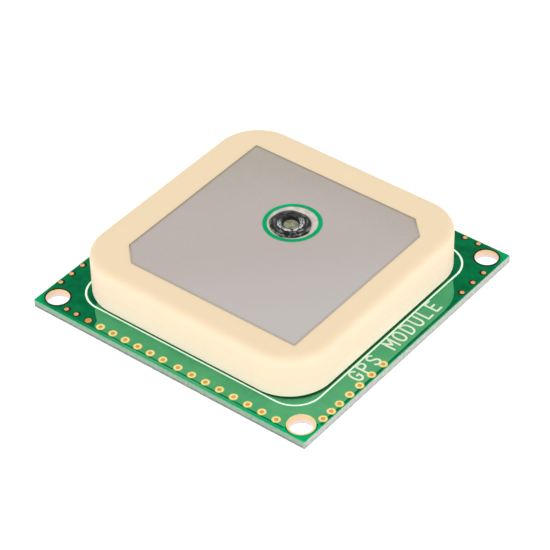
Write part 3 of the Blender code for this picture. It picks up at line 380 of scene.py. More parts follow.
def set_relief(tree, shader, height, depth):
    """Let a height stand so many millimetres proud."""
    bump = add_node(tree, "ShaderNodeBump", {"Height": height, "Distance": depth * MM})
    tree.links.new(bump.outputs[0], shader.inputs["Normal"])


def place_of(tree):
    """The three coordinates of the surface, in metres."""
    return add_node(tree, "ShaderNodeSeparateXYZ", {0: add_node(tree, "ShaderNodeTexCoord").outputs["Object"]}).outputs


print("middle grey in linear numbers:", np.round(seen(128, 128, 128), 3))


# %% Mask, laminate edge and plating in a hole
def make_mask(name, tones, lit, start, end):
    """Green mask that changes where |x| + |y| goes from start to end: to the second of two tones at the front."""
    made, tree, shader = bare(name, 0.0, 0.02)
    spots = spots_of(tree, 0.8)
    where = place_of(tree)
    x, y = [do_math(tree, "DIVIDE", where[axis], MM) for axis in "XY"]
    along = do_math(tree, "ADD", do_math(tree, "ABSOLUTE", x), do_math(tree, "ABSOLUTE", y))
    plain = blend(tree, between(tree, spots["Fine"], 0.36, 0.64), *tones)
    corner = blend(tree, between(tree, do_math(tree, "SUBTRACT", x, y), 12.0, 28.0), *lit)
    colour = blend(tree, between(tree, along, start, end), plain, corner)
    tree.links.new(colour, shader.inputs["Base Color"])
    tree.links.new(between(tree, spots["Broad"], 0.3, 0.7, 0.3, 0.4), shader.inputs["Roughness"])
    set_relief(tree, shader, spots["Fine"], 0.002)
    return made


def make_laminate():
    """Layers of glass cloth: the height sets the stripes, and a stretched grain breaks them up.

    Two of the sides, front right and back right, are pale. The other two have a greener top band and are much darker
    towards the bottom.
    """
    made, tree, shader = bare("laminate_edge", 0.0, 0.3)
    spots = spots_of(tree, 2.4, (1, 1, 2))
    where = place_of(tree)
    height = do_math(tree, "DIVIDE", where["Z"], MM)
    cut = between(tree, do_math(tree, "DIVIDE", do_math(tree, "ADD", where["X"], where["Y"]), MM), -0.5, 0.5)
    layers = (
        (seen(66, 174, 122), seen(168, 212, 186)),
        (seen(138, 166, 144), seen(184, 196, 186)),
        (seen(84, 100, 86), seen(164, 168, 164)),
    )
    top, middle, low = [blend(tree, cut, *tones) for tones in layers]
    top_band_start = do_math(tree, "ADD", do_math(tree, "MULTIPLY", cut, 0.26), BOARD_TOP - 0.46)
    upper = blend(tree, between(tree, height, top_band_start, BOARD_TOP - 0.08), middle, top)
    lower = blend(tree, between(tree, height, BOARD_BOTTOM + 0.16, BOARD_BOTTOM + 0.36), low, upper)
    cloth = blend(tree, between(tree, spots["Fine"], 0.42, 0.58), seen(126, 172, 144), seen(222, 186, 200))
    colour = blend(tree, between(tree, cut, 0.0, 1.0, 0.26, 0.5), lower, cloth)
    tree.links.new(colour, shader.inputs["Base Color"])
    shader.inputs["Roughness"].default_value = 0.7
    set_relief(tree, shader, spots["Fine"], 0.02)
    return made


def make_wall():
    """Gold inside a hole: the height takes it from pale to deep."""
    made, tree, shader = bare("wall_gold", 0.2, 0.4)
    spots = spots_of(tree, 1.5)
    height = do_math(tree, "DIVIDE", place_of(tree)["Z"], MM)
    deep = between(tree, height, BOARD_TOP - 0.62, BOARD_TOP - 0.12)
    pale = blend(tree, spots["Fine"], seen(240, 216, 214), seen(244, 226, 222))
    tree.links.new(blend(tree, deep, pale, seen(240, 210, 152)), shader.inputs["Base Color"])
    shader.inputs["Roughness"].default_value = 0.4
    set_relief(tree, shader, spots["Fine"], 0.003)
    return made


dark_tones = seen(0, 102, 64), seen(0, 125, 73)
strip_tones = seen(56, 172, 112), seen(76, 184, 126)
mask_corner = make_mask("mask_corner", dark_tones, (seen(0, 174, 105), seen(0, 184, 114)), 27.3, 29.7)
mask_strip = make_mask("mask_strip", strip_tones, (seen(0, 146, 90), seen(0, 184, 114)), 18.0, 24.5)
laminate = make_laminate()
wall_gold = make_wall()
print("finishes:", len(bpy.data.materials))


# %% Ceramic, silver, flux and pin head
def make_ceramic():
    """A pressed ceramic with pores. Its colour is painted light: tan towards the top and cream towards the foot.

    Light that bounces between the foot and the white ground is given as a faint glow of the lowest part.
    """
    made, tree, shader = bare("antenna_ceramic", 0.0, 0.35)
    spots = spots_of(tree, 4)
    height = do_math(tree, "DIVIDE", place_of(tree)["Z"], MM)
    wander = do_math(tree, "ADD", height, between(tree, spots["Broad"], 0.3, 0.7, -0.2, 0.2))
    # Painted light: the top is tinted tan and the sides grow paler towards the foot, standing for how the light falls
    # and making up for the shade near the board.
    rise = between(tree, wander, block_high[2] - 0.7, block_high[2] - 0.1)
    wall = blend(tree, between(tree, wander, block_low[2], block_low[2] + 2.6), seen(251, 237, 215), seen(250, 225, 196))
    body = blend(tree, rise, wall, seen(244, 221, 184))
    pores = between(tree, spots["Fine"], 0.28, 0.36, 1.0, 0.0)
    colour = blend(tree, do_math(tree, "MULTIPLY", pores, 0.25), body, seen(214, 190, 150))
    tree.links.new(colour, shader.inputs["Base Color"])
    foot = between(tree, height, block_low[2], block_low[2] + 1.6)
    tree.links.new(blend(tree, foot, seen(255, 214, 214), seen(0, 0, 0)), shader.inputs["Emission Color"])
    shader.inputs["Emission Strength"].default_value = 0.14
    tree.links.new(between(tree, spots["Broad"], 0.3, 0.7, 0.5, 0.65), shader.inputs["Roughness"])
    set_relief(tree, shader, spots["Fine"], 0.008)
    return made


def make_silver(half, cut):
    """Fired silver: warm grey with a faint screen grain, darker along the two edges that face away, and a painted
    sheen.
    """
    made, tree, shader = bare("fired_silver", 0.15, 0.4)
    spots = spots_of(tree, 7)
    where = place_of(tree)
    x = do_math(tree, "SUBTRACT", do_math(tree, "DIVIDE", where["X"], MM), PATCH_CENTRE[0])
    y = do_math(tree, "SUBTRACT", do_math(tree, "DIVIDE", where["Y"], MM), PATCH_CENTRE[1])
    backward = do_math(tree, "SUBTRACT", y, x)
    # Painted sheen and shade: lighter towards the front, darker towards the back and towards the back right edge.
    front = blend(tree, between(tree, backward, -14.0, -2.0), seen(194, 190, 187), seen(188, 177, 173))
    shade = blend(tree, between(tree, backward, 6.0, 19.0), front, seen(172, 168, 152))
    shade = blend(tree, between(tree, y, half - 4.0, half, 0.0, 0.6), shade, seen(174, 164, 152))
    grain = between(tree, spots["Fine"], 0.3, 0.7, 0.0, 0.35)
    patches = blend(tree, grain, shade, seen(200, 191, 184))
    side = do_math(tree, "MAXIMUM", do_math(tree, "ABSOLUTE", x), do_math(tree, "ABSOLUTE", y))
    diagonal = do_math(tree, "DIVIDE", do_math(tree, "ABSOLUTE", do_math(tree, "ADD", x, y)), np.sqrt(2))
    reach = do_math(tree, "ADD", diagonal, half - (2 * half - cut) / np.sqrt(2))
    rim = between(tree, do_math(tree, "MAXIMUM", side, reach), half - 0.3, half - 0.02)
    behind = between(tree, backward, 0.0, 2.0, 0.35, 1.0)
    with_back_rim = blend(tree, do_math(tree, "MULTIPLY", rim, behind), patches, seen(146, 130, 108))
    given = {"Centre": (FEED[0] * MM, FEED[1] * MM, 0.0), "Spacing": MM}
    distance = add_node(tree, "ShaderNodeGroup", given, node_tree=ripple_group).outputs["Distance"]
    inside = between(tree, do_math(tree, "DIVIDE", distance, MM), 2.3, 2.4, 1.0, 0.0)
    wetted = blend(tree, between(tree, spots["Broad"], 0.4, 0.6), seen(206, 195, 187), seen(232, 220, 208))
    colour = blend(tree, inside, with_back_rim, wetted)
    tree.links.new(colour, shader.inputs["Base Color"])
    tree.links.new(between(tree, spots["Broad"], 0.3, 0.7, 0.45, 0.6), shader.inputs["Roughness"])
    set_relief(tree, shader, spots["Fine"], 0.006)
    return made


def make_dark_reflecting_solder(centre):
    """Solder painted dark as a painted reflection of dark surroundings, with faint rings about a point and mottled
    painted highlights at the front.
    """
    made, tree, shader = bare("solder_painted_reflection", 0.3, 0.3)
    spots = spots_of(tree, 2.6)
    given = {"Centre": (centre[0] * MM, centre[1] * MM, 0.0), "Spacing": 0.35 * MM}
    rings = add_node(tree, "ShaderNodeGroup", given, node_tree=ripple_group).outputs
    both = do_math(tree, "ADD", do_math(tree, "MULTIPLY", rings["Ripple"], 0.12), spots["Fine"])
    forward = do_math(tree, "DIVIDE", do_math(tree, "SUBTRACT", place_of(tree)["X"], place_of(tree)["Y"]), MM)
    # Painted highlights: the lighter mottling shows only on the side towards the front.
    bright = between(tree, forward, centre[0] - centre[1] - 1.6, centre[0] - centre[1] + 0.6, 0.3, 1.0)
    front_highlights = do_math(tree, "MULTIPLY", between(tree, both, 0.53, 0.72), bright)
    colour = blend(tree, front_highlights, seen(10, 14, 14), seen(126, 130, 126))
    tree.links.new(colour, shader.inputs["Base Color"])
    tree.links.new(between(tree, spots["Broad"], 0.3, 0.7, 0.2, 0.4), shader.inputs["Roughness"])
    set_relief(tree, shader, both, 0.06)
    return made


def make_mouth(centre):
    """The hollow head of the pin, by the distance from a point: olive floor, a throat of painted black shade and a
    broken rim of painted highlights.
    """
    made, tree, shader = bare("pin_head", 0.3, 0.25)
    spots = spots_of(tree, 3.2)
    given = {"Centre": (centre[0] * MM, centre[1] * MM, 0.0), "Spacing": MM}
    distance = add_node(tree, "ShaderNodeGroup", given, node_tree=ripple_group).outputs["Distance"]
    away = do_math(tree, "DIVIDE", distance, MM)
    wander = do_math(tree, "ADD", away, between(tree, spots["Fine"], 0.3, 0.7, -0.06, 0.06))
    where = place_of(tree)
    x = do_math(tree, "SUBTRACT", do_math(tree, "DIVIDE", where["X"], MM), centre[0])
    y = do_math(tree, "SUBTRACT", do_math(tree, "DIVIDE", where["Y"], MM), centre[1])
    forward = do_math(tree, "SUBTRACT", do_math(tree, "MULTIPLY", x, 0.72), do_math(tree, "MULTIPLY", y, 0.69))
    floor = blend(tree, between(tree, spots["Fine"], 0.4, 0.6), seen(104, 104, 80), seen(158, 156, 128))
    fine = {"Centre": (centre[0] * MM, centre[1] * MM, 0.0), "Spacing": 0.16 * MM}
    lines = add_node(tree, "ShaderNodeGroup", fine, node_tree=ripple_group).outputs["Ripple"]
    scratch = do_math(tree, "ADD", do_math(tree, "MULTIPLY", lines, 0.18), spots["Fine"])
    # Painted highlights on the rim, brightest on the front side, and a throat of painted black shade that lies towards
    # the back.
    lit = do_math(tree, "MULTIPLY", between(tree, scratch, 0.5, 0.66), between(tree, forward, -0.6, 0.3, 0.08, 1.0))
    rim_highlights = blend(tree, lit, seen(12, 15, 15), seen(206, 212, 208))
    throat_shade = between(tree, do_math(tree, "SUBTRACT", wander, do_math(tree, "MULTIPLY", forward, 0.3)), 0.6, 0.66)
    middle = blend(tree, throat_shade, floor, seen(8, 11, 11))
    colour = blend(tree, between(tree, wander, HEAD_RIM - 0.3, HEAD_RIM - 0.2), middle, rim_highlights)
    tree.links.new(colour, shader.inputs["Base Color"])
    tree.links.new(between(tree, spots["Broad"], 0.3, 0.7, 0.25, 0.45), shader.inputs["Roughness"])
    set_relief(tree, shader, spots["Fine"], 0.03)
    return made


ceramic = make_ceramic()
PATCH_CUT = 1.75
silver = make_silver(PATCH_HALF, PATCH_CUT)
HEAD_FLOOR = 0.66
HEAD_RIM = 1.12
HEAD_CENTRE = FEED + np.array([0.0, -0.26])
reflecting_solder = make_dark_reflecting_solder(HEAD_CENTRE)
head_metal = make_mouth(HEAD_CENTRE)
print("finishes:", len(bpy.data.materials))


# %% [markdown]
# ## Surfaces from whole arrays
# A ring of points is an array, and so is a stack of rings. Neighbours in the stack make quads, which can be
# worked out for the whole grid at once. Four shapes are enough for this object: a slab with holes, a turned
# profile, a bead along a path, and one shape repeated at many places.

# %% Points, faces and pieces
def grid_faces(rows, columns, close_rows=False):
    """Quads between the neighbours of a grid whose columns go round: (r, c), (r, c+1), (r+1, c+1), (r+1, c)."""
    r, c = np.meshgrid(np.arange(rows if close_rows else rows - 1), np.arange(columns), indexing="ij")
    below = r * columns
    above = (r + 1) % rows * columns
    after = (c + 1) % columns
    return np.stack([below + c, below + after, above + after, above + c], axis=-1).reshape(-1, 4)


def repeated(shape, places):
    """The same shape at several places: each place is added to all points, and the faces count on."""
    points, faces = shape
    places = np.asarray(places, float)
    many = (points[None] + places[:, None]).reshape(-1, 3)
    steps = np.repeat(np.arange(len(places)) * len(points), len(faces))
    return many, [[corner + step for corner in face] for face, step in zip(list(faces) * len(places), steps.tolist())]


def joined(shapes):
    """Several shapes as one: their points in a row, and their faces counted on."""
    points = np.concatenate([points for points, faces in shapes])
    starts = np.cumsum([0] + [len(points) for points, faces in shapes])
    faces = [[corner + int(start) for corner in face] for (_, some), start in zip(shapes, starts) for face in some]
    return points, faces


def add_piece(name, shape, material, replaces=()):
    """A mesh object at the origin from points in millimetres, riding on the body."""
    points, faces = shape
    mesh = bpy.data.meshes.new(name)
    mesh.from_pydata((np.asarray(points) * MM).tolist(), [], [list(map(int, face)) for face in faces])
    mesh.validate()
    mesh.materials.append(material)
    mesh.shade_smooth()
    mesh.set_sharp_from_angle(angle=np.radians(40))
    made = bpy.data.objects.new(name, mesh)
    bpy.context.scene.collection.objects.link(made)
    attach(made, BODY)
    if replaces:
        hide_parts(*replaces)
    print(f"{name}: {len(mesh.vertices)} points, {len(mesh.polygons)} faces")
    return made


# %% [markdown]
# ## Rings of points
# Outlines run anticlockwise. A circle is radius times (cos t, sin t). A rounded rectangle is four quarter
# circles, and the straight sides are simply what joins them. Moving a ring along its own outward directions
# gives the next ring of a rounded edge, whatever its shape.

# %% Outlines
def circle(radius, sides, centre=(0.0, 0.0)):
    """Points at equal angles: centre + radius (cos t, sin t)."""
    t = np.linspace(0, 2 * np.pi, sides, endpoint=False)
    return np.column_stack([centre[0] + radius * np.cos(t), centre[1] + radius * np.sin(t)])


def rounded(half_x, half_y, radius, steps=8, centre=(0.0, 0.0)):
    """A rectangle whose corners are quarter circles: corner centre + radius (cos t, sin t)."""
    quarter = np.arange(4)[:, None]
    t = np.pi / 2 * (quarter + np.linspace(0, 1, steps + 1))
    sign_x = np.array([1, -1, -1, 1])[:, None]
    sign_y = np.array([1, 1, -1, -1])[:, None]
    x = centre[0] + sign_x * (half_x - radius) + radius * np.cos(t)
    y = centre[1] + sign_y * (half_y - radius) + radius * np.sin(t)
    return np.column_stack([x.ravel(), y.ravel()])


def outward(ring):
    """How each corner of a ring moves if all its sides move out by 1: the sum of both side normals, mitred."""
    side = np.roll(ring, -1, axis=0) - ring
    normal = np.column_stack([side[:, 1], -side[:, 0]])
    normal /= np.linalg.norm(normal, axis=1)[:, None]
    before = np.roll(normal, 1, axis=0)
    mitre = 1 + (normal * before).sum(axis=1)
    return (normal + before) / np.maximum(mitre, 0.4)[:, None]


def evenly(path, step, closed=True):
    """The same path with points at an even spacing, read off along its length."""
    if closed:
        path = np.vstack([path, path[:1]])
    length = np.concatenate([[0], np.cumsum(np.linalg.norm(np.diff(path, axis=0), axis=1))])
    count = max(2, round(length[-1] / step))
    at = np.linspace(0, length[-1], count, endpoint=not closed)
    return np.column_stack([np.interp(at, length, path[:, 0]), np.interp(at, length, path[:, 1])])


# %% [markdown]
# ## Slabs, turned pieces and beads
# A slab is an outline with holes, carried through a few levels. At each level the outline may step in and the
# holes may widen, which rounds its edges. Its flat faces are filled with triangles, because a face with holes
# has no grid of its own. A turned piece is a profile swept round an axis, and a bead is a half ellipse that
# follows a path.

# %% Solid shapes
def fill(rings):
    """Triangles between an anticlockwise outline and clockwise holes, all facing up."""
    flat = np.concatenate(rings)
    ends = np.cumsum([len(ring) for ring in rings])
    areas = [list(range(end - len(ring), end)) for ring, end in zip(rings, ends.tolist())]
    inside_with_holes = 2
    done = delaunay_2d_cdt(flat.tolist(), [], areas, inside_with_holes, 1e-7)
    sources = np.array([source[0] for source in done[3]])
    triangles = sources[np.array(done[2])]
    a, b, c = flat[triangles[:, 0]], flat[triangles[:, 1]], flat[triangles[:, 2]]
    area = (b - a)[:, 0] * (c - a)[:, 1] - (b - a)[:, 1] * (c - a)[:, 0]
    triangles[area < 0] = triangles[area < 0][:, ::-1]
    return triangles


def slab(outline, holes, levels):
    """An outline with holes through levels of (height, step in of the outline, widening of the holes).

    Ring k at height z is ring - outward times its step. The walls are quads, the ends are filled flat.
    """
    rings = [np.asarray(outline, float), *[np.asarray(hole, float)[::-1] for hole in holes]]
    flat = np.concatenate(rings)
    normal = np.concatenate([outward(ring) for ring in rings])
    first = np.arange(len(flat)) < len(rings[0])
    count = len(flat)
    layers = []
    for height, step, widening in levels:
        moved = flat - normal * np.where(first, step, widening)[:, None]
        layers.append(np.column_stack([moved, np.full(count, height)]))
    ends = np.cumsum([len(ring) for ring in rings])
    after = np.concatenate([np.roll(np.arange(end - len(ring), end), -1) for ring, end in zip(rings, ends)])
    i = np.arange(count)
    walls = np.concatenate([np.stack([i, after, after + count, i + count], -1) + k * count for k in range(len(levels) - 1)])
    cover = fill(rings)
    faces = [*walls.tolist(), *cover[:, ::-1].tolist(), *(cover + (len(levels) - 1) * count).tolist()]
    return np.concatenate(layers), faces


def turned(profile, sides=48, centre=(0.0, 0.0)):
    """A profile of (radius, height) about an upright axis: (r cos t, r sin t, z).

    A profile that starts and ends on the axis gets a point at each pole, and any other one is a closed loop.
    Its outer side runs upwards, so that the faces look outwards.
    """
    radius, height = np.array(profile, float).T
    poles = radius[0] == 0 and radius[-1] == 0
    rows = slice(1, -1) if poles else slice(None)
    t = np.linspace(0, 2 * np.pi, sides, endpoint=False)
    r, z = radius[rows, None], height[rows, None]
    x, y = centre[0] + r * np.cos(t), centre[1] + r * np.sin(t)
    points = np.stack([x, y, z + 0 * t], axis=-1).reshape(-1, 3)
    faces = grid_faces(len(z), sides, close_rows=not poles).tolist()
    if poles:
        count = len(points)
        i = np.arange(sides)
        j = (i + 1) % sides
        last = count - sides
        faces += np.stack([j, i, np.full(sides, count)], -1).tolist()
        faces += np.stack([last + i, last + j, np.full(sides, count + 1)], -1).tolist()
        points = np.vstack([points, [*centre, height[0]], [*centre, height[-1]]])
    return points, faces


def bead(path, width, height, base, closed=False, wobble=0.0, arc=6):
    """A bead on a flat path: across = width / 2 cos t and rise = height sin t, with round ends if it is open.

    A negative height hangs it under its base.
    """
    path = np.asarray(path, float)
    size = np.ones(len(path))
    if not closed:
        start = path[0] - path[1]
        end = path[-1] - path[-2]
        bow = np.radians([80, 55, 30])
        ahead = np.sin(bow)[:, None] * width / 2
        head = path[0] + ahead * start / np.linalg.norm(start)
        tail = path[-1] + ahead[::-1] * end / np.linalg.norm(end)
        path = np.vstack([head, path, tail])
        size = np.concatenate([np.cos(bow), size, np.cos(bow)[::-1]])
    if closed:
        ahead = np.roll(path, -1, axis=0) - np.roll(path, 1, axis=0)
    else:
        ahead = np.gradient(path, axis=0)
    ahead /= np.linalg.norm(ahead, axis=1)[:, None]
    left = np.column_stack([-ahead[:, 1], ahead[:, 0]])
    along = np.arange(len(path))
    size = size * (1 + wobble * (np.sin(along * 0.9) + np.sin(along * 0.37 + 2) + np.sin(along * 2.3)) / 3)
    t = np.linspace(0, np.pi, arc + 1)
    across = width / 2 * size[:, None] * np.cos(t)
    flat = path[:, None] + left[:, None] * across[..., None]
    rise = base + height * np.sin(t) * np.ones(len(path))[:, None]
    points = np.concatenate([flat, rise[..., None]], axis=-1).reshape(-1, 3)
    columns = arc + 1
    faces = grid_faces(len(path), columns, close_rows=closed).tolist()
    if not closed:
        last = (len(path) - 1) * columns
        faces += [list(range(columns))[::-1], list(range(last, last + columns))]
    if height < 0:
        faces = [face[::-1] for face in faces]
    return points, faces


print("a test slab has", len(slab(circle(1, 12), [circle(0.5, 6)], [(0, 0, 0), (1, 0, 0)])[1]), "faces")

# %% [markdown]
# ## Where the vias are
# A row of small plated holes, called vias, runs along each edge and joins the copper of both sides. Their
# spacing on the real board is uneven: close by the corners, wider along the middle, and interrupted for the
# lettering. Vias in the lit copper have a broad gold land. Those in the darker corners and along the far edges
# have only a small rim, in a hollow of the green mask whose dark ring is painted shade.

# %% Rows of vias
ROW_START = -11.83
front_left = ROW_START + np.cumsum([0, 1.13] + 7 * [1.41] + [1.67] + 7 * [1.516])
front_right = ROW_START + np.cumsum([0, 1.13, 1.13, 1.41, 1.41, 1.67, 1.67, 11.69, 1.67, 1.67])
far_row = ROW_START + 1.45 * np.arange(17)


def row_along_x(values, y):
    """Places of a row that runs along X."""
    return np.column_stack([values, np.full(len(values), y)])


def row_along_y(values, x):
    """Places of a row that runs along Y."""
    return np.column_stack([np.full(len(values), x), values])


fl_row = row_along_x(front_left, -BOARD_HALF + 0.76)
fr_row = row_along_y(front_right, BOARD_HALF - 0.5)
back_rows = np.vstack([row_along_y(far_row, -BOARD_HALF + 0.33), row_along_x(-far_row, BOARD_HALF - 0.33)])
broad_vias = np.vstack([fl_row[3:], fr_row[:7]])
bare_via = fl_row[2:3]
small_vias = np.vstack([fl_row[:2], fr_row[7:], back_rows])
fine_vias = np.vstack([bare_via, small_vias])
HOLE_PLACE = BOARD_HALF - 1.5
corner_holes = {
    "left": (-HOLE_PLACE, -HOLE_PLACE),
    "front": (HOLE_PLACE, -HOLE_PLACE),
    "right": (HOLE_PLACE, HOLE_PLACE),
    "back": (-HOLE_PLACE, HOLE_PLACE),
}
print("vias:", len(broad_vias), "broad,", len(bare_via), "bare,", len(small_vias), "small")

# %% [markdown]
# ## The board
# The real board is glass cloth in resin with a green film of solder mask on both faces. It was cut out with a
# router, which leaves a rough pale edge and stops the mask a hair short of it. So it is made of three slabs:
# the core, whose outline has small random nicks, and a thin mask above and below with the same holes.

# %% Core and mask
MASK = 0.025
BROAD_BORE = 0.22
FINE_BORE = 0.17
FEED_BORE = 0.5
CORNER_BORE = 1.125
MASK_PULL_BACK = 0.03
chance = np.random.default_rng(7)
edge_path = evenly(rounded(BOARD_HALF, BOARD_HALF, 0.02, 3), 0.2)
nicks = np.abs(chance.normal(0, 0.012, len(edge_path))).clip(0, 0.035)
core_outline = edge_path - outward(edge_path) * nicks[:, None]
corner_rings = [circle(CORNER_BORE, 48, centre) for centre in corner_holes.values()]
feed_ring = circle(FEED_BORE, 24, FEED)
via_rings = [circle(BROAD_BORE, 16, centre) for centre in broad_vias]
via_rings += [circle(FINE_BORE, 16, centre) for centre in fine_vias]
core_levels = [(BOARD_BOTTOM + MASK, 0, 0), (BOARD_TOP - MASK, 0, 0)]
core = slab(core_outline, [*corner_rings, feed_ring, *via_rings], core_levels)
add_piece("board_core", core, laminate, ["circuit_board"])
mask_edge = rounded(BOARD_HALF - MASK_PULL_BACK, BOARD_HALF - MASK_PULL_BACK, 0.03, 4)
mask_holes = [*corner_rings, feed_ring, *via_rings]
mask_top = slab(mask_edge, mask_holes, [(BOARD_TOP - MASK, 0, 0), (BOARD_TOP - 0.01, 0, 0), (BOARD_TOP, 0.01, 0)])
add_piece("board_mask_top", mask_top, mask_corner)
under_levels = [(BOARD_BOTTOM, 0.01, 0), (BOARD_BOTTOM + 0.01, 0, 0), (BOARD_BOTTOM + MASK, 0, 0)]
add_piece("board_mask_under", slab(mask_edge, mask_holes, under_levels), mask_dark)

# %% [markdown]
# ## Copper under the mask
# Where copper lies under the mask, the board is a lighter green and stands a few hundredths higher. The lit
# copper covers the two front strips and the front corner, and its ends are cut off near the side corners. A
# narrow gap, seen as a dark line, parts it from the strip that runs along the board's very edge.

# %% Copper areas
POUR_RISE = 0.02
POUR_LEFT = 14.56
POUR_RIGHT = 14.66
hidden = 10.4
pour_outline = np.array([
    (-hidden, -11.7), (-9.75, -12.85), (-9.42, -13.19), (-9.1, -13.45), (-8.66, -13.82), (-8.5, -14.3), (-8.3, -POUR_LEFT),
    (12.45, -POUR_LEFT), (POUR_RIGHT, -12.4), (POUR_RIGHT, 5.3), (14.55, 6.4), (14.3, 7.2), (13.92, 7.88),
    (13.0, 9.05), (12.3, 9.0), (hidden, 9.0), (hidden, -hidden), (-hidden, -hidden),
])
pour_holes = [circle(BROAD_BORE, 16, centre) for centre in fl_row[3:]]
pour_levels = [(BOARD_TOP, 0, 0), (BOARD_TOP + POUR_RISE, 0.01, 0)]


def bitten(outline, centre, radius, steps=24):
    """An outline with a round bite: the part of the circle that lies inside it takes the place of a corner."""
    sides = np.roll(outline, -1, axis=0) - outline
    rings = []
    for start, side in zip(outline, sides):
        rings.append(start)
        away = start - centre
        a, b, c = side @ side, 2 * away @ side, away @ away - radius**2
        root = b * b - 4 * a * c
        if root > 0:
            enter, leave = (-b - np.sqrt(root)) / (2 * a), (-b + np.sqrt(root)) / (2 * a)
            if 0 < enter < 1 and 0 < leave < 1:
                first, last = start + enter * side - centre, start + leave * side - centre
                t0, t1 = np.arctan2(first[1], first[0]), np.arctan2(last[1], last[0])
                if t1 > t0:
                    t1 -= 2 * np.pi
                t = np.linspace(t0, t1, steps)
                rings.extend(centre + radius * np.column_stack([np.cos(t), np.sin(t)]))
    return np.array(rings)


pour_outline = bitten(pour_outline, np.array(corner_holes["front"]), 1.27)
for centre in fr_row[:7]:
    pour_outline = bitten(pour_outline, centre, BROAD_BORE, 12)
add_piece("copper_pour", slab(pour_outline, pour_holes, pour_levels), mask_light)


STRIP_LEFT = 14.7
STRIP_RIGHT = 14.89
STRIP_OUTER = 14.96
STRIP_END = 12.5
fl_strip = np.array([
    (-STRIP_END, -STRIP_OUTER), (STRIP_END, -STRIP_OUTER), (STRIP_END, -STRIP_LEFT), (-STRIP_END, -STRIP_LEFT)
])
fr_strip = np.array([
    (STRIP_RIGHT, -STRIP_END), (STRIP_OUTER, -STRIP_END), (STRIP_OUTER, STRIP_END), (STRIP_RIGHT, STRIP_END)
])
strip_levels = [(BOARD_TOP, 0, 0), (BOARD_TOP + 0.012, 0.01, 0)]


def corner_tip(sign_x, sign_y, radius):
    """The bright copper in a corner, outside the hole: a square corner less the hole's circle."""
    t = np.linspace(np.radians(-45), np.radians(135), 25)
    arc = HOLE_PLACE + radius * np.column_stack([np.cos(t), np.sin(t)])
    near = HOLE_PLACE + radius * np.cos(np.radians(135))
    ring = np.vstack([arc[::-1], [(STRIP_OUTER, near), (STRIP_OUTER, STRIP_OUTER), (near, STRIP_OUTER)]])
    ring = ring * (sign_x, sign_y)
    return ring if sign_x * sign_y > 0 else ring[::-1]


strips = [slab(ring, [], strip_levels) for ring in (fl_strip, fr_strip)]
add_piece("copper_edge_strips", joined(strips), mask_strip)
# The thin bright bands along the two far top edges are painted highlights of those edges.
FAR_HIGHLIGHT_INNER = 14.86
bl_highlight = np.array([
    (-STRIP_OUTER, -STRIP_END), (-FAR_HIGHLIGHT_INNER, -STRIP_END), (-FAR_HIGHLIGHT_INNER, STRIP_END), (-STRIP_OUTER, STRIP_END)
])
br_highlight = bl_highlight[:, ::-1] * (1, -1)
far_highlights = [slab(ring, [], strip_levels) for ring in (bl_highlight, br_highlight)]
add_piece("far_edge_painted_highlights", joined(far_highlights), mask_bright)
add_piece("copper_tip_front", slab(corner_tip(1, -1, 1.4), [], strip_levels), mask_vivid)

# %% [markdown]
# ## Plated vias
# A via is a spool of metal: a barrel through the board with a land on both faces. Turned about its axis it is
# one closed profile. The broad ones are pale gold, with a thin darker brim of painted shade where the land's edge
# meets the mask. The barrel inside looks deep orange,
# because light bounces several times between its walls, so a liner with a deeper tone stands for that.

# %% Vias
def spool(bore, wall, land, rise, sides=24):
    """A barrel with a land on both faces, as one closed profile whose outer side runs upwards."""
    low, high = BOARD_BOTTOM, BOARD_TOP
    profile = [
        (land, low - rise * 0.5), (land, low), (bore, low), (bore, high), (land, high),
        (land, high + rise * 0.4), (land - 0.3 * rise, high + rise * 0.85), (land - rise, high + rise),
        (wall + 0.6 * rise, high + rise), (wall + 0.15 * rise, high + rise * 0.8), (wall, high + rise * 0.4),
        (wall, low - rise * 0.4), (wall + 0.6 * rise, low - rise), (land - rise, low - rise),
    ]
    return turned(profile, sides)


def at_heights(places, height=0.0):
    """Flat places with a height."""
    return np.column_stack([places, np.full(len(places), height)])


def flat_ring(inner, outer, low, high, sides=24):
    """A flat washer."""
    return turned([(outer, low), (outer, high), (inner, high), (inner, low)], sides)


def liner(radius):
    """A thin tube inside a barrel, a little longer than the board is thick."""
    return flat_ring(radius, radius + 0.01, BOARD_BOTTOM - 0.01, BOARD_TOP + 0.03)


def plug(radius):
    """A filling of the barrel that is level with the board. Its tone is painted light that stands for the lit inside
    of the barrel.
    """
    low, high = BOARD_TOP - 0.12, BOARD_TOP
    return turned([(0, low), (radius, low), (radius, high), (0, high)], 24)


def moat(reach, shift=(0.0, 0.0)):
    """A washer of painted shade round a via, whose outline may lie to one side of it."""
    levels = [(BOARD_TOP - 0.01, 0, 0), (BOARD_TOP + 0.006, 0, 0)]
    return slab(circle(reach, 24, shift), [circle(FINE_BORE, 24)], levels)


BROAD_WALL = 0.19
SMALL_WALL = 0.14
BROAD_LAND = 0.36
BARE_LAND = 0.31
SMALL_LAND = 0.215
broad_spool = spool(BROAD_BORE, BROAD_WALL, BROAD_LAND, 0.03)
add_piece("via_lands_broad", repeated(broad_spool, at_heights(broad_vias)), gold)
# The darker brim is painted shade at the edge of the land.
brim_low, brim_high = BOARD_TOP + POUR_RISE - 0.01, BOARD_TOP + POUR_RISE + 0.005
brims = repeated(flat_ring(0.33, 0.41, brim_low, brim_high), at_heights(broad_vias))
add_piece("via_brims", brims, brim_painted_shade)
broad_liners = repeated(liner(BROAD_WALL - 0.008), at_heights(broad_vias))
fine_liners = repeated(liner(SMALL_WALL + 0.002), at_heights(fine_vias))
add_piece("via_liners", joined([broad_liners, fine_liners]), bore_gold)
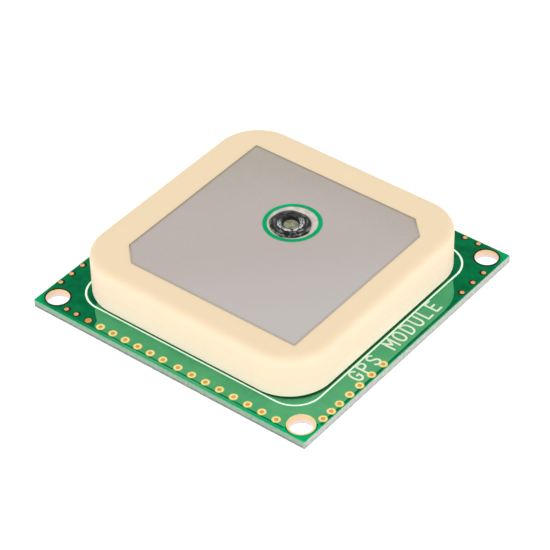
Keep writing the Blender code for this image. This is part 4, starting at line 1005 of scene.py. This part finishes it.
# The plugs' tones are painted light from inside the lit barrels.
plugs = [repeated(plug(BROAD_WALL - 0.009), at_heights(broad_vias)), repeated(plug(0.145), at_heights(bare_via))]
add_piece("via_plugs", joined(plugs), bore_gold)
small_plugs = repeated(plug(SMALL_WALL + 0.001), at_heights(small_vias))
add_piece("via_plugs_small", small_plugs, tan_gold)
bare_spool = spool(FINE_BORE, SMALL_WALL + 0.01, BARE_LAND, 0.03)
add_piece("via_land_bare", repeated(bare_spool, at_heights(bare_via)), copper)
small_spool = spool(FINE_BORE, SMALL_WALL, SMALL_LAND, 0.02)
add_piece("via_rims_small", repeated(small_spool, at_heights(small_vias)), tan_gold)
# The dark rings are painted shade in the mask openings, shifted to the side where the shade falls widest.
across = np.array([0.776, 0.63])
side = np.sign(small_vias @ across)
shade_hollows = [repeated(moat(0.35, -0.07 * sign * across), at_heights(small_vias[side == sign])) for sign in (-1, 1)]
shade_hollows.append(repeated(moat(0.385), at_heights(bare_via)))
add_piece("via_hollows_painted_shade", joined(shade_hollows), hollow_shade_paint)

# %% [markdown]
# ## Plated corner holes
# A screw in each corner holds the real module down. The holes are plated like the vias. At the front corner the
# mask leaves a gold rim free. At the others it comes up to the hole, and a thin dark ring of painted shade stands
# for the line that its edge throws.

# %% Corner barrels
def barrel(inner, rim, rise):
    """A thin tube with a rim on both faces, and a wall of 0.05."""
    low, high = BOARD_BOTTOM - 0.02, BOARD_TOP + 0.02
    outer = inner + 0.05
    profile = [
        (rim, low - rise), (rim, low), (outer, low), (outer, high), (rim, high), (rim, high + rise * 0.6),
        (rim - 0.02, high + rise), (inner + 0.03, high + rise), (inner, high + rise * 0.4),
        (inner, low - rise * 0.4), (inner + 0.03, low - rise),
    ]
    return turned(profile, 96)


for name, centre in corner_holes.items():
    points, faces = barrel(1.1, 1.14, 0.02) if name == "front" else barrel(1.08, 1.12, 0.005)
    points = points + np.array([*centre, 0.0])
    add_piece(f"corner_plating_{name}", (points, faces), wall_gold, [f"corner_barrel_{name}"])
front_rim = flat_ring(1.115, 1.26, BOARD_TOP - 0.01, BOARD_TOP + 0.045, 96)
add_piece("corner_rim_front", repeated(front_rim, [(*corner_holes["front"], 0.0)]), rim_gold)
# A thin dark ring of painted shade at the three other holes.
dark_rims = [np.array([*corner_holes[name], 0.0]) for name in ("left", "right", "back")]
dark_rim = flat_ring(1.078, 1.215, BOARD_TOP - 0.01, BOARD_TOP + 0.03, 96)
add_piece("corner_painted_shade_rims", repeated(dark_rim, dark_rims), hollow_shade_paint)

# %% [markdown]
# ## White print
# The outline round the antenna and the lettering are silk screened: thick white ink with round edges and a
# slightly uneven width. The outline is a bead on a rounded square. The letters are drawn as the plotter of a
# board maker draws them, with strokes of one width and round ends, and they name only the kind of thing.

# %% Outline and lettering
INK = 0.02
PRINT_LEVEL = BOARD_TOP + POUR_RISE
silk_path = evenly(rounded(12.62, 12.59, 2.66, 24, (0.09, 0.08)), 0.25)
silk_bead = bead(silk_path, 0.185, INK + POUR_RISE, BOARD_TOP, closed=True, wobble=0.08)
add_piece("print_outline", silk_bead, silk)

LETTERS = {
    "G": [[(0.52, 0.8), (0.42, 0.95), (0.27, 1), (0.12, 0.94), (0.03, 0.76), (0, 0.5), (0.03, 0.24), (0.12, 0.06),
           (0.27, 0), (0.42, 0.05), (0.52, 0.2), (0.53, 0.46), (0.32, 0.46)]],
    "P": [[(0, 0), (0, 1), (0.3, 1), (0.46, 0.93), (0.52, 0.76), (0.46, 0.58), (0.3, 0.5), (0, 0.5)]],
    "M": [[(0, 0), (0, 1), (0.29, 0.38), (0.58, 1), (0.58, 0)]],
    "O": [[(0.28, 0), (0.13, 0.05), (0.03, 0.22), (0, 0.5), (0.03, 0.78), (0.13, 0.95), (0.28, 1), (0.43, 0.95),
           (0.53, 0.78), (0.56, 0.5), (0.53, 0.22), (0.43, 0.05), (0.28, 0)]],
    "U": [[(0, 1), (0, 0.28), (0.06, 0.09), (0.18, 0), (0.34, 0), (0.46, 0.09), (0.52, 0.28), (0.52, 1)]],
    "L": [[(0, 1), (0, 0), (0.46, 0)]],
    "E": [[(0.48, 0), (0, 0), (0, 1), (0.48, 1)], [(0, 0.52), (0.4, 0.52)]],
    "D": [[(0, 0), (0, 1), (0.24, 1), (0.42, 0.9), (0.52, 0.68), (0.52, 0.32), (0.42, 0.1), (0.24, 0), (0, 0)]],
    "S": [[(0.5, 0.84), (0.4, 0.96), (0.26, 1), (0.1, 0.95), (0.02, 0.8), (0.06, 0.63), (0.26, 0.52),
           (0.46, 0.4), (0.52, 0.22), (0.43, 0.05), (0.26, 0), (0.1, 0.04), (0, 0.17)]],
    " ": [],
    "+": [[(0.05, 0.5), (0.55, 0.5)], [(0.3, 0.25), (0.3, 0.75)]],
    "1": [[(0.1, 0.78), (0.28, 1), (0.28, 0)]],
}


def write(text, start, reading, top, height, advance, width, level, rise):
    """Strokes for a line of text: start + reading times the place along + top times the place up."""
    shapes = []
    for number, letter in enumerate(text):
        for stroke in LETTERS[letter]:
            along, upward = np.array(stroke, float).T * height
            along = along + number * advance
            path = np.array(start) + along[:, None] * np.array(reading) + upward[:, None] * np.array(top)
            for first, last in zip(path[:-1], path[1:]):
                shapes.append(bead([first, last], width, rise, level))
    return joined(shapes)


lettering = write("GPS MODULE", (14.2, -6.35), (0, 1), (-1, 0), 1.34, 1.25, 0.205, PRINT_LEVEL - 0.002, INK)
add_piece("print_lettering", lettering, letter_ink)

# %% [markdown]
# ## The ceramic block
# The antenna is a pressed and fired block of microwave ceramic. Its corners are wide quarter circles and its
# upper edge is soft, so it is a slab whose outline steps in along a quarter ellipse near the top. One more ring
# just inside the soft edge keeps the top's shading flat.

# %% Ceramic block
BLOCK_HALF = block_high[0]
BLOCK_CORNER = 4.3
TOP_FILLET = (0.8, 0.58)
FOOT_FILLET = 0.12
quarter = np.linspace(0, np.pi / 2, 11)
foot = [(block_low[2] + FOOT_FILLET * (1 - np.cos(t)), FOOT_FILLET * (1 - np.sin(t)), 0) for t in quarter[::2]]
soft = [(block_high[2] - TOP_FILLET[1] * (1 - np.sin(t)), TOP_FILLET[0] * (1 - np.cos(t)), 0) for t in quarter]
flat_start = (block_high[2], TOP_FILLET[0] + 0.05, 0.02)
block_outline = rounded(BLOCK_HALF, BLOCK_HALF, BLOCK_CORNER, 24)
block = slab(block_outline, [circle(FEED_BORE, 24, FEED)], [*foot, *soft, flat_start])
add_piece("antenna_block", block, ceramic, ["ceramic_block"])
# A dark film on the board round the foot is painted shadow: the shade in the gap under the block.
shadow_outline = rounded(12.5, 12.5, 4.2, 24, (0.08, 0.08))
shadow_hole = rounded(11.2, 11.2, 3.0, 24)
gap_shadow_film = slab(shadow_outline, [shadow_hole], [(BOARD_TOP, 0, 0), (BOARD_TOP + POUR_RISE + 0.01, 0.02, 0)])
add_piece("painted_shadow_under_block", gap_shadow_film, painted_gap_shadow)
print(f"gap under the block: {block_low[2] - BOARD_TOP:.3f}")

# %% [markdown]
# ## Silver patch, stop ring, solder and pin
# A square of silver paste is screened on the block and fired. Two opposite corners are cut so that the patch
# answers to waves that turn. The feed pin is a nail whose head lies on the silver. A printed green ring keeps
# its solder from running away, and inside the ring the solder lies dark and glossy round the head.

# %% Patch and feed
patch_turn = PATCH_HALF - PATCH_CUT
patch_outline = PATCH_CENTRE + np.array([
    (-patch_turn, -PATCH_HALF), (PATCH_HALF, -PATCH_HALF), (PATCH_HALF, patch_turn),
    (patch_turn, PATCH_HALF), (-PATCH_HALF, PATCH_HALF), (-PATCH_HALF, -patch_turn),
])
patch_levels = [(patch_low[2], 0, 0), (patch_high[2] - 0.01, 0, 0), (patch_high[2], 0.03, 0)]
patch = slab(patch_outline, [circle(FEED_BORE, 24, FEED)], patch_levels)
add_piece("patch", patch, silver, ["patch_silver"])

ring_outer = (ring_high - ring_low)[0] / 2 + 0.01
ring_inner = ring_outer - 0.39
ring_rise = ring_high[2] - ring_low[2]
t = np.linspace(0, np.pi, 9)
ring_profile = [
    ((ring_outer + ring_inner) / 2 + (ring_outer - ring_inner) / 2 * np.cos(a), ring_low[2] + ring_rise * np.sin(a))
    for a in t
]
add_piece("stop_ring", turned(ring_profile, 128, FEED), mask_bright, ["solder_stop_ring"])


def uneven(shape, centre, reach, drop):
    """A turned shape whose outer part wanders: r (1 + w f(t)) and z - w drop g(t), with w = (r / reach)^4.

    f(t) = 0.035 cos(t + 1.2) + 0.03 cos(2 t + 0.4) + 0.018 cos(5 t + 1) + 0.01 cos(9 t), g(t) = 1/2 + cos(3 t) / 2.
    """
    points, faces = shape
    away = points[:, :2] - centre
    t = np.arctan2(away[:, 1], away[:, 0])
    weight = (np.linalg.norm(away, axis=1) / reach).clip(0, 1) ** 4
    waves = 0.035 * np.cos(t + 1.2) + 0.03 * np.cos(2 * t + 0.4) + 0.018 * np.cos(5 * t + 1) + 0.01 * np.cos(9 * t)
    moved = centre + away * (1 + weight * waves)[:, None]
    height = points[:, 2] - weight * drop * (0.5 + 0.5 * np.cos(3 * t))
    return np.column_stack([moved, height]), faces


solder_radius = (solder_high - solder_low)[0] / 2 + 0.1
mound_low = solder_low[2]
collar_inner = HEAD_RIM + 0.13
wet = [
    (collar_inner + (solder_radius - collar_inner) * np.cos(a), mound_low + 0.02 + 0.2 * np.sin(a) ** 0.8)
    for a in np.linspace(0, np.pi / 2, 10)
]
collar = [(collar_inner, mound_low), (solder_radius - 0.02, mound_low), *wet]
mound = uneven(turned(collar, 96, HEAD_CENTRE), HEAD_CENTRE, solder_radius, 0.0)
add_piece("feed_collar", mound, reflecting_solder, ["feed_solder"])

floor_level = mound_low + 0.1
rim_level = mound_low + 0.33
mouth = [
    (collar_inner - 0.01, mound_low), (collar_inner - 0.01, mound_low + 0.22),
    (HEAD_RIM + 0.06, rim_level - 0.05), (HEAD_RIM, rim_level), (HEAD_RIM - 0.1, rim_level - 0.03),
    (HEAD_RIM - 0.22, rim_level - 0.12), (HEAD_FLOOR + 0.04, floor_level + 0.02), (HEAD_FLOOR - 0.05, floor_level),
]
shank = [(0, pin_low[2]), (0.3, pin_low[2]), (0.4, pin_low[2] + 0.12), (0.4, floor_level - 0.02), (0, floor_level - 0.02)]
eyelet = [(0, mound_low), *mouth, (0, floor_level)]
nail = joined([turned(shank, 48, FEED), turned(eyelet, 96, HEAD_CENTRE)])
add_piece("feed_nail", nail, head_metal, ["feed_pin"])

tail_low, tail_high = node_box("tail_solder")
tail_radius = (tail_high - tail_low)[0] / 2
tail_rise = tail_high[2] - tail_low[2]
wet = [(tail_radius - (tail_radius - 0.44) * s, tail_high[2] - tail_rise * s * s) for s in np.linspace(1, 0, 9)]
cone = turned([(0.42, tail_low[2]), *wet, (0.42, tail_high[2])], 48, FEED)
add_piece("tail_cone", cone, solder, ["tail_solder"])

# %% [markdown]
# ## The cell
# The backup cell is a drawn steel cup that is crimped over a smaller cap. Its edges are rolled, so the finer
# profile rounds them, and a shallow ring on the cap shows where the press held it.

# %% Backup cell
cell_centre = ((cell_low + cell_high) / 2)[:2]
R = (cell_high - cell_low)[0] / 2
low, high = cell_low[2], cell_high[2]
cell_profile = [
    (0, low + 0.03), (0.9, low + 0.03), (1.0, low), (1.75, low), (1.88, low + 0.04), (1.95, low + 0.13),
    (1.95, low + 0.24), (2.0, low + 0.26), (R - 0.16, low + 0.25), (R - 0.06, low + 0.29), (R, low + 0.4),
    (R, high - 0.16), (R - 0.05, high - 0.05), (R - 0.16, high), (0, high),
]
add_piece("cell_can", turned(cell_profile, 96, cell_centre), steel, ["backup_cell"])

# %% [markdown]
# ## Solder, lands and tracks underneath
# Everything below is soldered to tinned lands. A land is a thin slab, and the solder that climbs a foot is a
# slab that narrows as it rises. Tracks are beads under the mask. They run from the socket towards the can, as
# they do on such boards, so that no lead ends in nothing.

# %% Lands, joints and tracks
LAND = 0.018


def land(centre, half_x, half_y):
    """A tinned land under the board."""
    outline = rounded(half_x, half_y, min(half_x, half_y) * 0.4, 4, centre)
    return slab(outline, [], [(BOARD_BOTTOM - LAND, 0.01, 0), (BOARD_BOTTOM, 0, 0)])


def joint(centre, half_x, half_y, climb):
    """Solder that wets the foot of a lead: it narrows as the square root of the height it climbs."""
    outline = rounded(half_x, half_y, min(half_x, half_y) * 0.6, 5, centre)
    shares = np.linspace(1, 0, 6)
    reach = min(half_x, half_y) * 0.75
    levels = [(BOARD_BOTTOM - LAND - climb * s * s, reach * s, 0) for s in shares]
    return slab(outline, [], levels)


lands, joints = [], []
chip_nodes = [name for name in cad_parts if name.startswith(("capacitor_", "resistor_", "data_resistor", "supply_"))]
terminals = []
for name in chip_nodes:
    low, high = node_box(name)
    centre, size = (low + high) / 2, high - low
    lengthwise = size[0] > size[1]
    length = max(size[0], size[1])
    for sign in (-1, 1):
        shift = np.array([sign, 0]) if lengthwise else np.array([0, sign])
        cap = centre[:2] + shift * length * 0.375
        half_cap = length * 0.125 + 0.012
        half_width = min(size[0], size[1]) / 2 + 0.012
        halves = (half_cap, half_width) if lengthwise else (half_width, half_cap)
        outline = rounded(*halves, 0.05, 4, cap)
        levels = [(low[2] - 0.012, 0.04, 0), (low[2] + 0.03, 0, 0), (high[2], 0, 0)]
        terminals.append(slab(outline, [], levels))
        foot = centre[:2] + shift * length * 0.46
        wide = (half_cap + 0.16, half_width + 0.04) if lengthwise else (half_width + 0.04, half_cap + 0.16)
        lands.append(land(foot, *wide))
        joints.append(joint(foot, wide[0] - 0.02, wide[1] - 0.02, size[2] * 0.45))
add_piece("chip_terminals", joined(terminals), tin)

contact_nodes = [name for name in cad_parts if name.startswith("socket_contact")]
for name in contact_nodes:
    low, high = node_box(name)
    foot = np.array([(low[0] + high[0]) / 2, low[1] + 0.3])
    lands.append(land(foot, 0.26, 0.6))
    joints.append(joint(foot, 0.24, 0.56, 0.16))
for name in ("socket_nail_left", "socket_nail_right"):
    low, high = node_box(name)
    centre, size = (low + high) / 2, high - low
    lands.append(land(centre, size[0] / 2 + 0.2, size[1] / 2 + 0.2))
    joints.append(joint(centre, size[0] / 2 + 0.16, size[1] / 2 + 0.16, 0.14))
inner_low, inner_high = node_box("cell_tab_inner")
outer_low, outer_high = node_box("cell_tab_outer")
for x in (inner_low[0] + 0.5, outer_high[0] - 0.4):
    lands.append(land((x, cell_centre[1]), 0.75, 0.95))
    joints.append(joint((x, cell_centre[1]), 0.7, 0.9, 0.1))
add_piece("under_lands", joined(lands), tin)
add_piece("under_joints", joined(joints), solder)

can_centre = (can_low + can_high)[:2] / 2
can_half = (can_high - can_low)[:2] / 2
seam_path = evenly(rounded(can_half[0] - 0.1, can_half[1] - 0.1, 0.6, 6, can_centre), 0.4)
add_piece("can_seam", bead(seam_path, 0.42, -0.18, BOARD_BOTTOM, closed=True, wobble=0.12), solder)

tracks = []
for name in contact_nodes:
    low, high = node_box(name)
    x = (low[0] + high[0]) / 2
    inward = np.sign(x) * min(abs(x), 0.5)
    path = [(x, low[1] + 0.2), (x, 9.3), (x + inward, 8.9), (x + inward, can_high[1] + 0.15)]
    tracks.append(bead(path, 0.26, -0.02, BOARD_BOTTOM))
broad_paths = [
    [(inner_low[0] + 0.3, cell_centre[1]), (-11.6, 7.4), (-11.6, 1.5), (-9.4, 0.4)],
    [(outer_high[0] - 0.3, cell_centre[1]), (-4.2, 6.6), (-4.2, can_high[1])],
    [(7.9, 9.75), (9.8, 9.0), (9.8, 8.15), (8.1, 8.15)],
    [(6.7, 9.75), (4.4, 9.75), (3.4, 9.4), (3.1, 9.2)],
    [(6.7, 8.15), (6.1, 7.4), (6.1, can_high[1])],
]
tracks.extend(bead(path, 0.4, -0.02, BOARD_BOTTOM) for path in broad_paths)
add_piece("under_tracks", joined(tracks), mask_light)

# %% [markdown]
# ## Print underneath
# The underside has a little print of its own: a plus sign beside the cell, the figure that marks the first way of
# the socket, and the outlines of both.

# %% Print underneath
under_print = [
    write("+", (inner_low[0] - 0.1, cell_centre[1] + 1.6), (1, 0), (0, 1), 0.9, 1, 0.14, BOARD_BOTTOM, -0.02),
    write("1", (-4.9, 10.0), (1, 0), (0, 1), 0.9, 1, 0.14, BOARD_BOTTOM, -0.02),
    bead(evenly(circle(R + 0.35, 48, cell_centre), 0.3), 0.14, -0.02, BOARD_BOTTOM, closed=True),
    bead(evenly(rounded(4.35, 2.15, 0.1, 2, (0, 12.75)), 0.3), 0.14, -0.02, BOARD_BOTTOM, closed=True),
]
add_piece("under_print", joined(under_print), silk)

# %% [markdown]
# ## Finishes for the frame's own pieces
# The pieces whose plain shape is right stay as they are. Each gets the finish that its real material has.

# %% Dress the nodes
def dress(name, material):
    """Give a node of the frame a finish, in the slot that it has."""
    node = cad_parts[name]
    if not node.material_slots:
        node.data.materials.append(material)
    for slot in node.material_slots:
        slot.material = material


kinds = {
    "circuit_board": mask_dark, "corner_barrel": gold, "ceramic_block": ceramic, "mounting_pad": pad_foam,
    "ground_silver": silver, "patch_silver": silver, "solder_stop_ring": mask_bright, "feed_pin": brass,
    "feed_solder": reflecting_solder, "tail_solder": solder, "shield": tin, "socket_housing": moulding,
    "socket_contact": brass, "socket_nail": tin, "backup_cell": steel, "cell_tab": steel,
    "receiver_chip": plastic, "memory_chip": plastic, "antenna_amplifier": plastic,
    "voltage_regulator": plastic, "radio_oscillator": package, "clock_crystal": package,
    "antenna_filter": package, "power_inductor": core_dark, "capacitor": chip_tan,
    "supply_capacitor": chip_tan, "resistor": chip_black, "data_resistor": chip_black, "supply_bead": chip_black,
}
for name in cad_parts:
    matches = [start for start in kinds if name.startswith(start)]
    dress(name, kinds[max(matches, key=len)])
print("dressed:", len(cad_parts), "nodes")
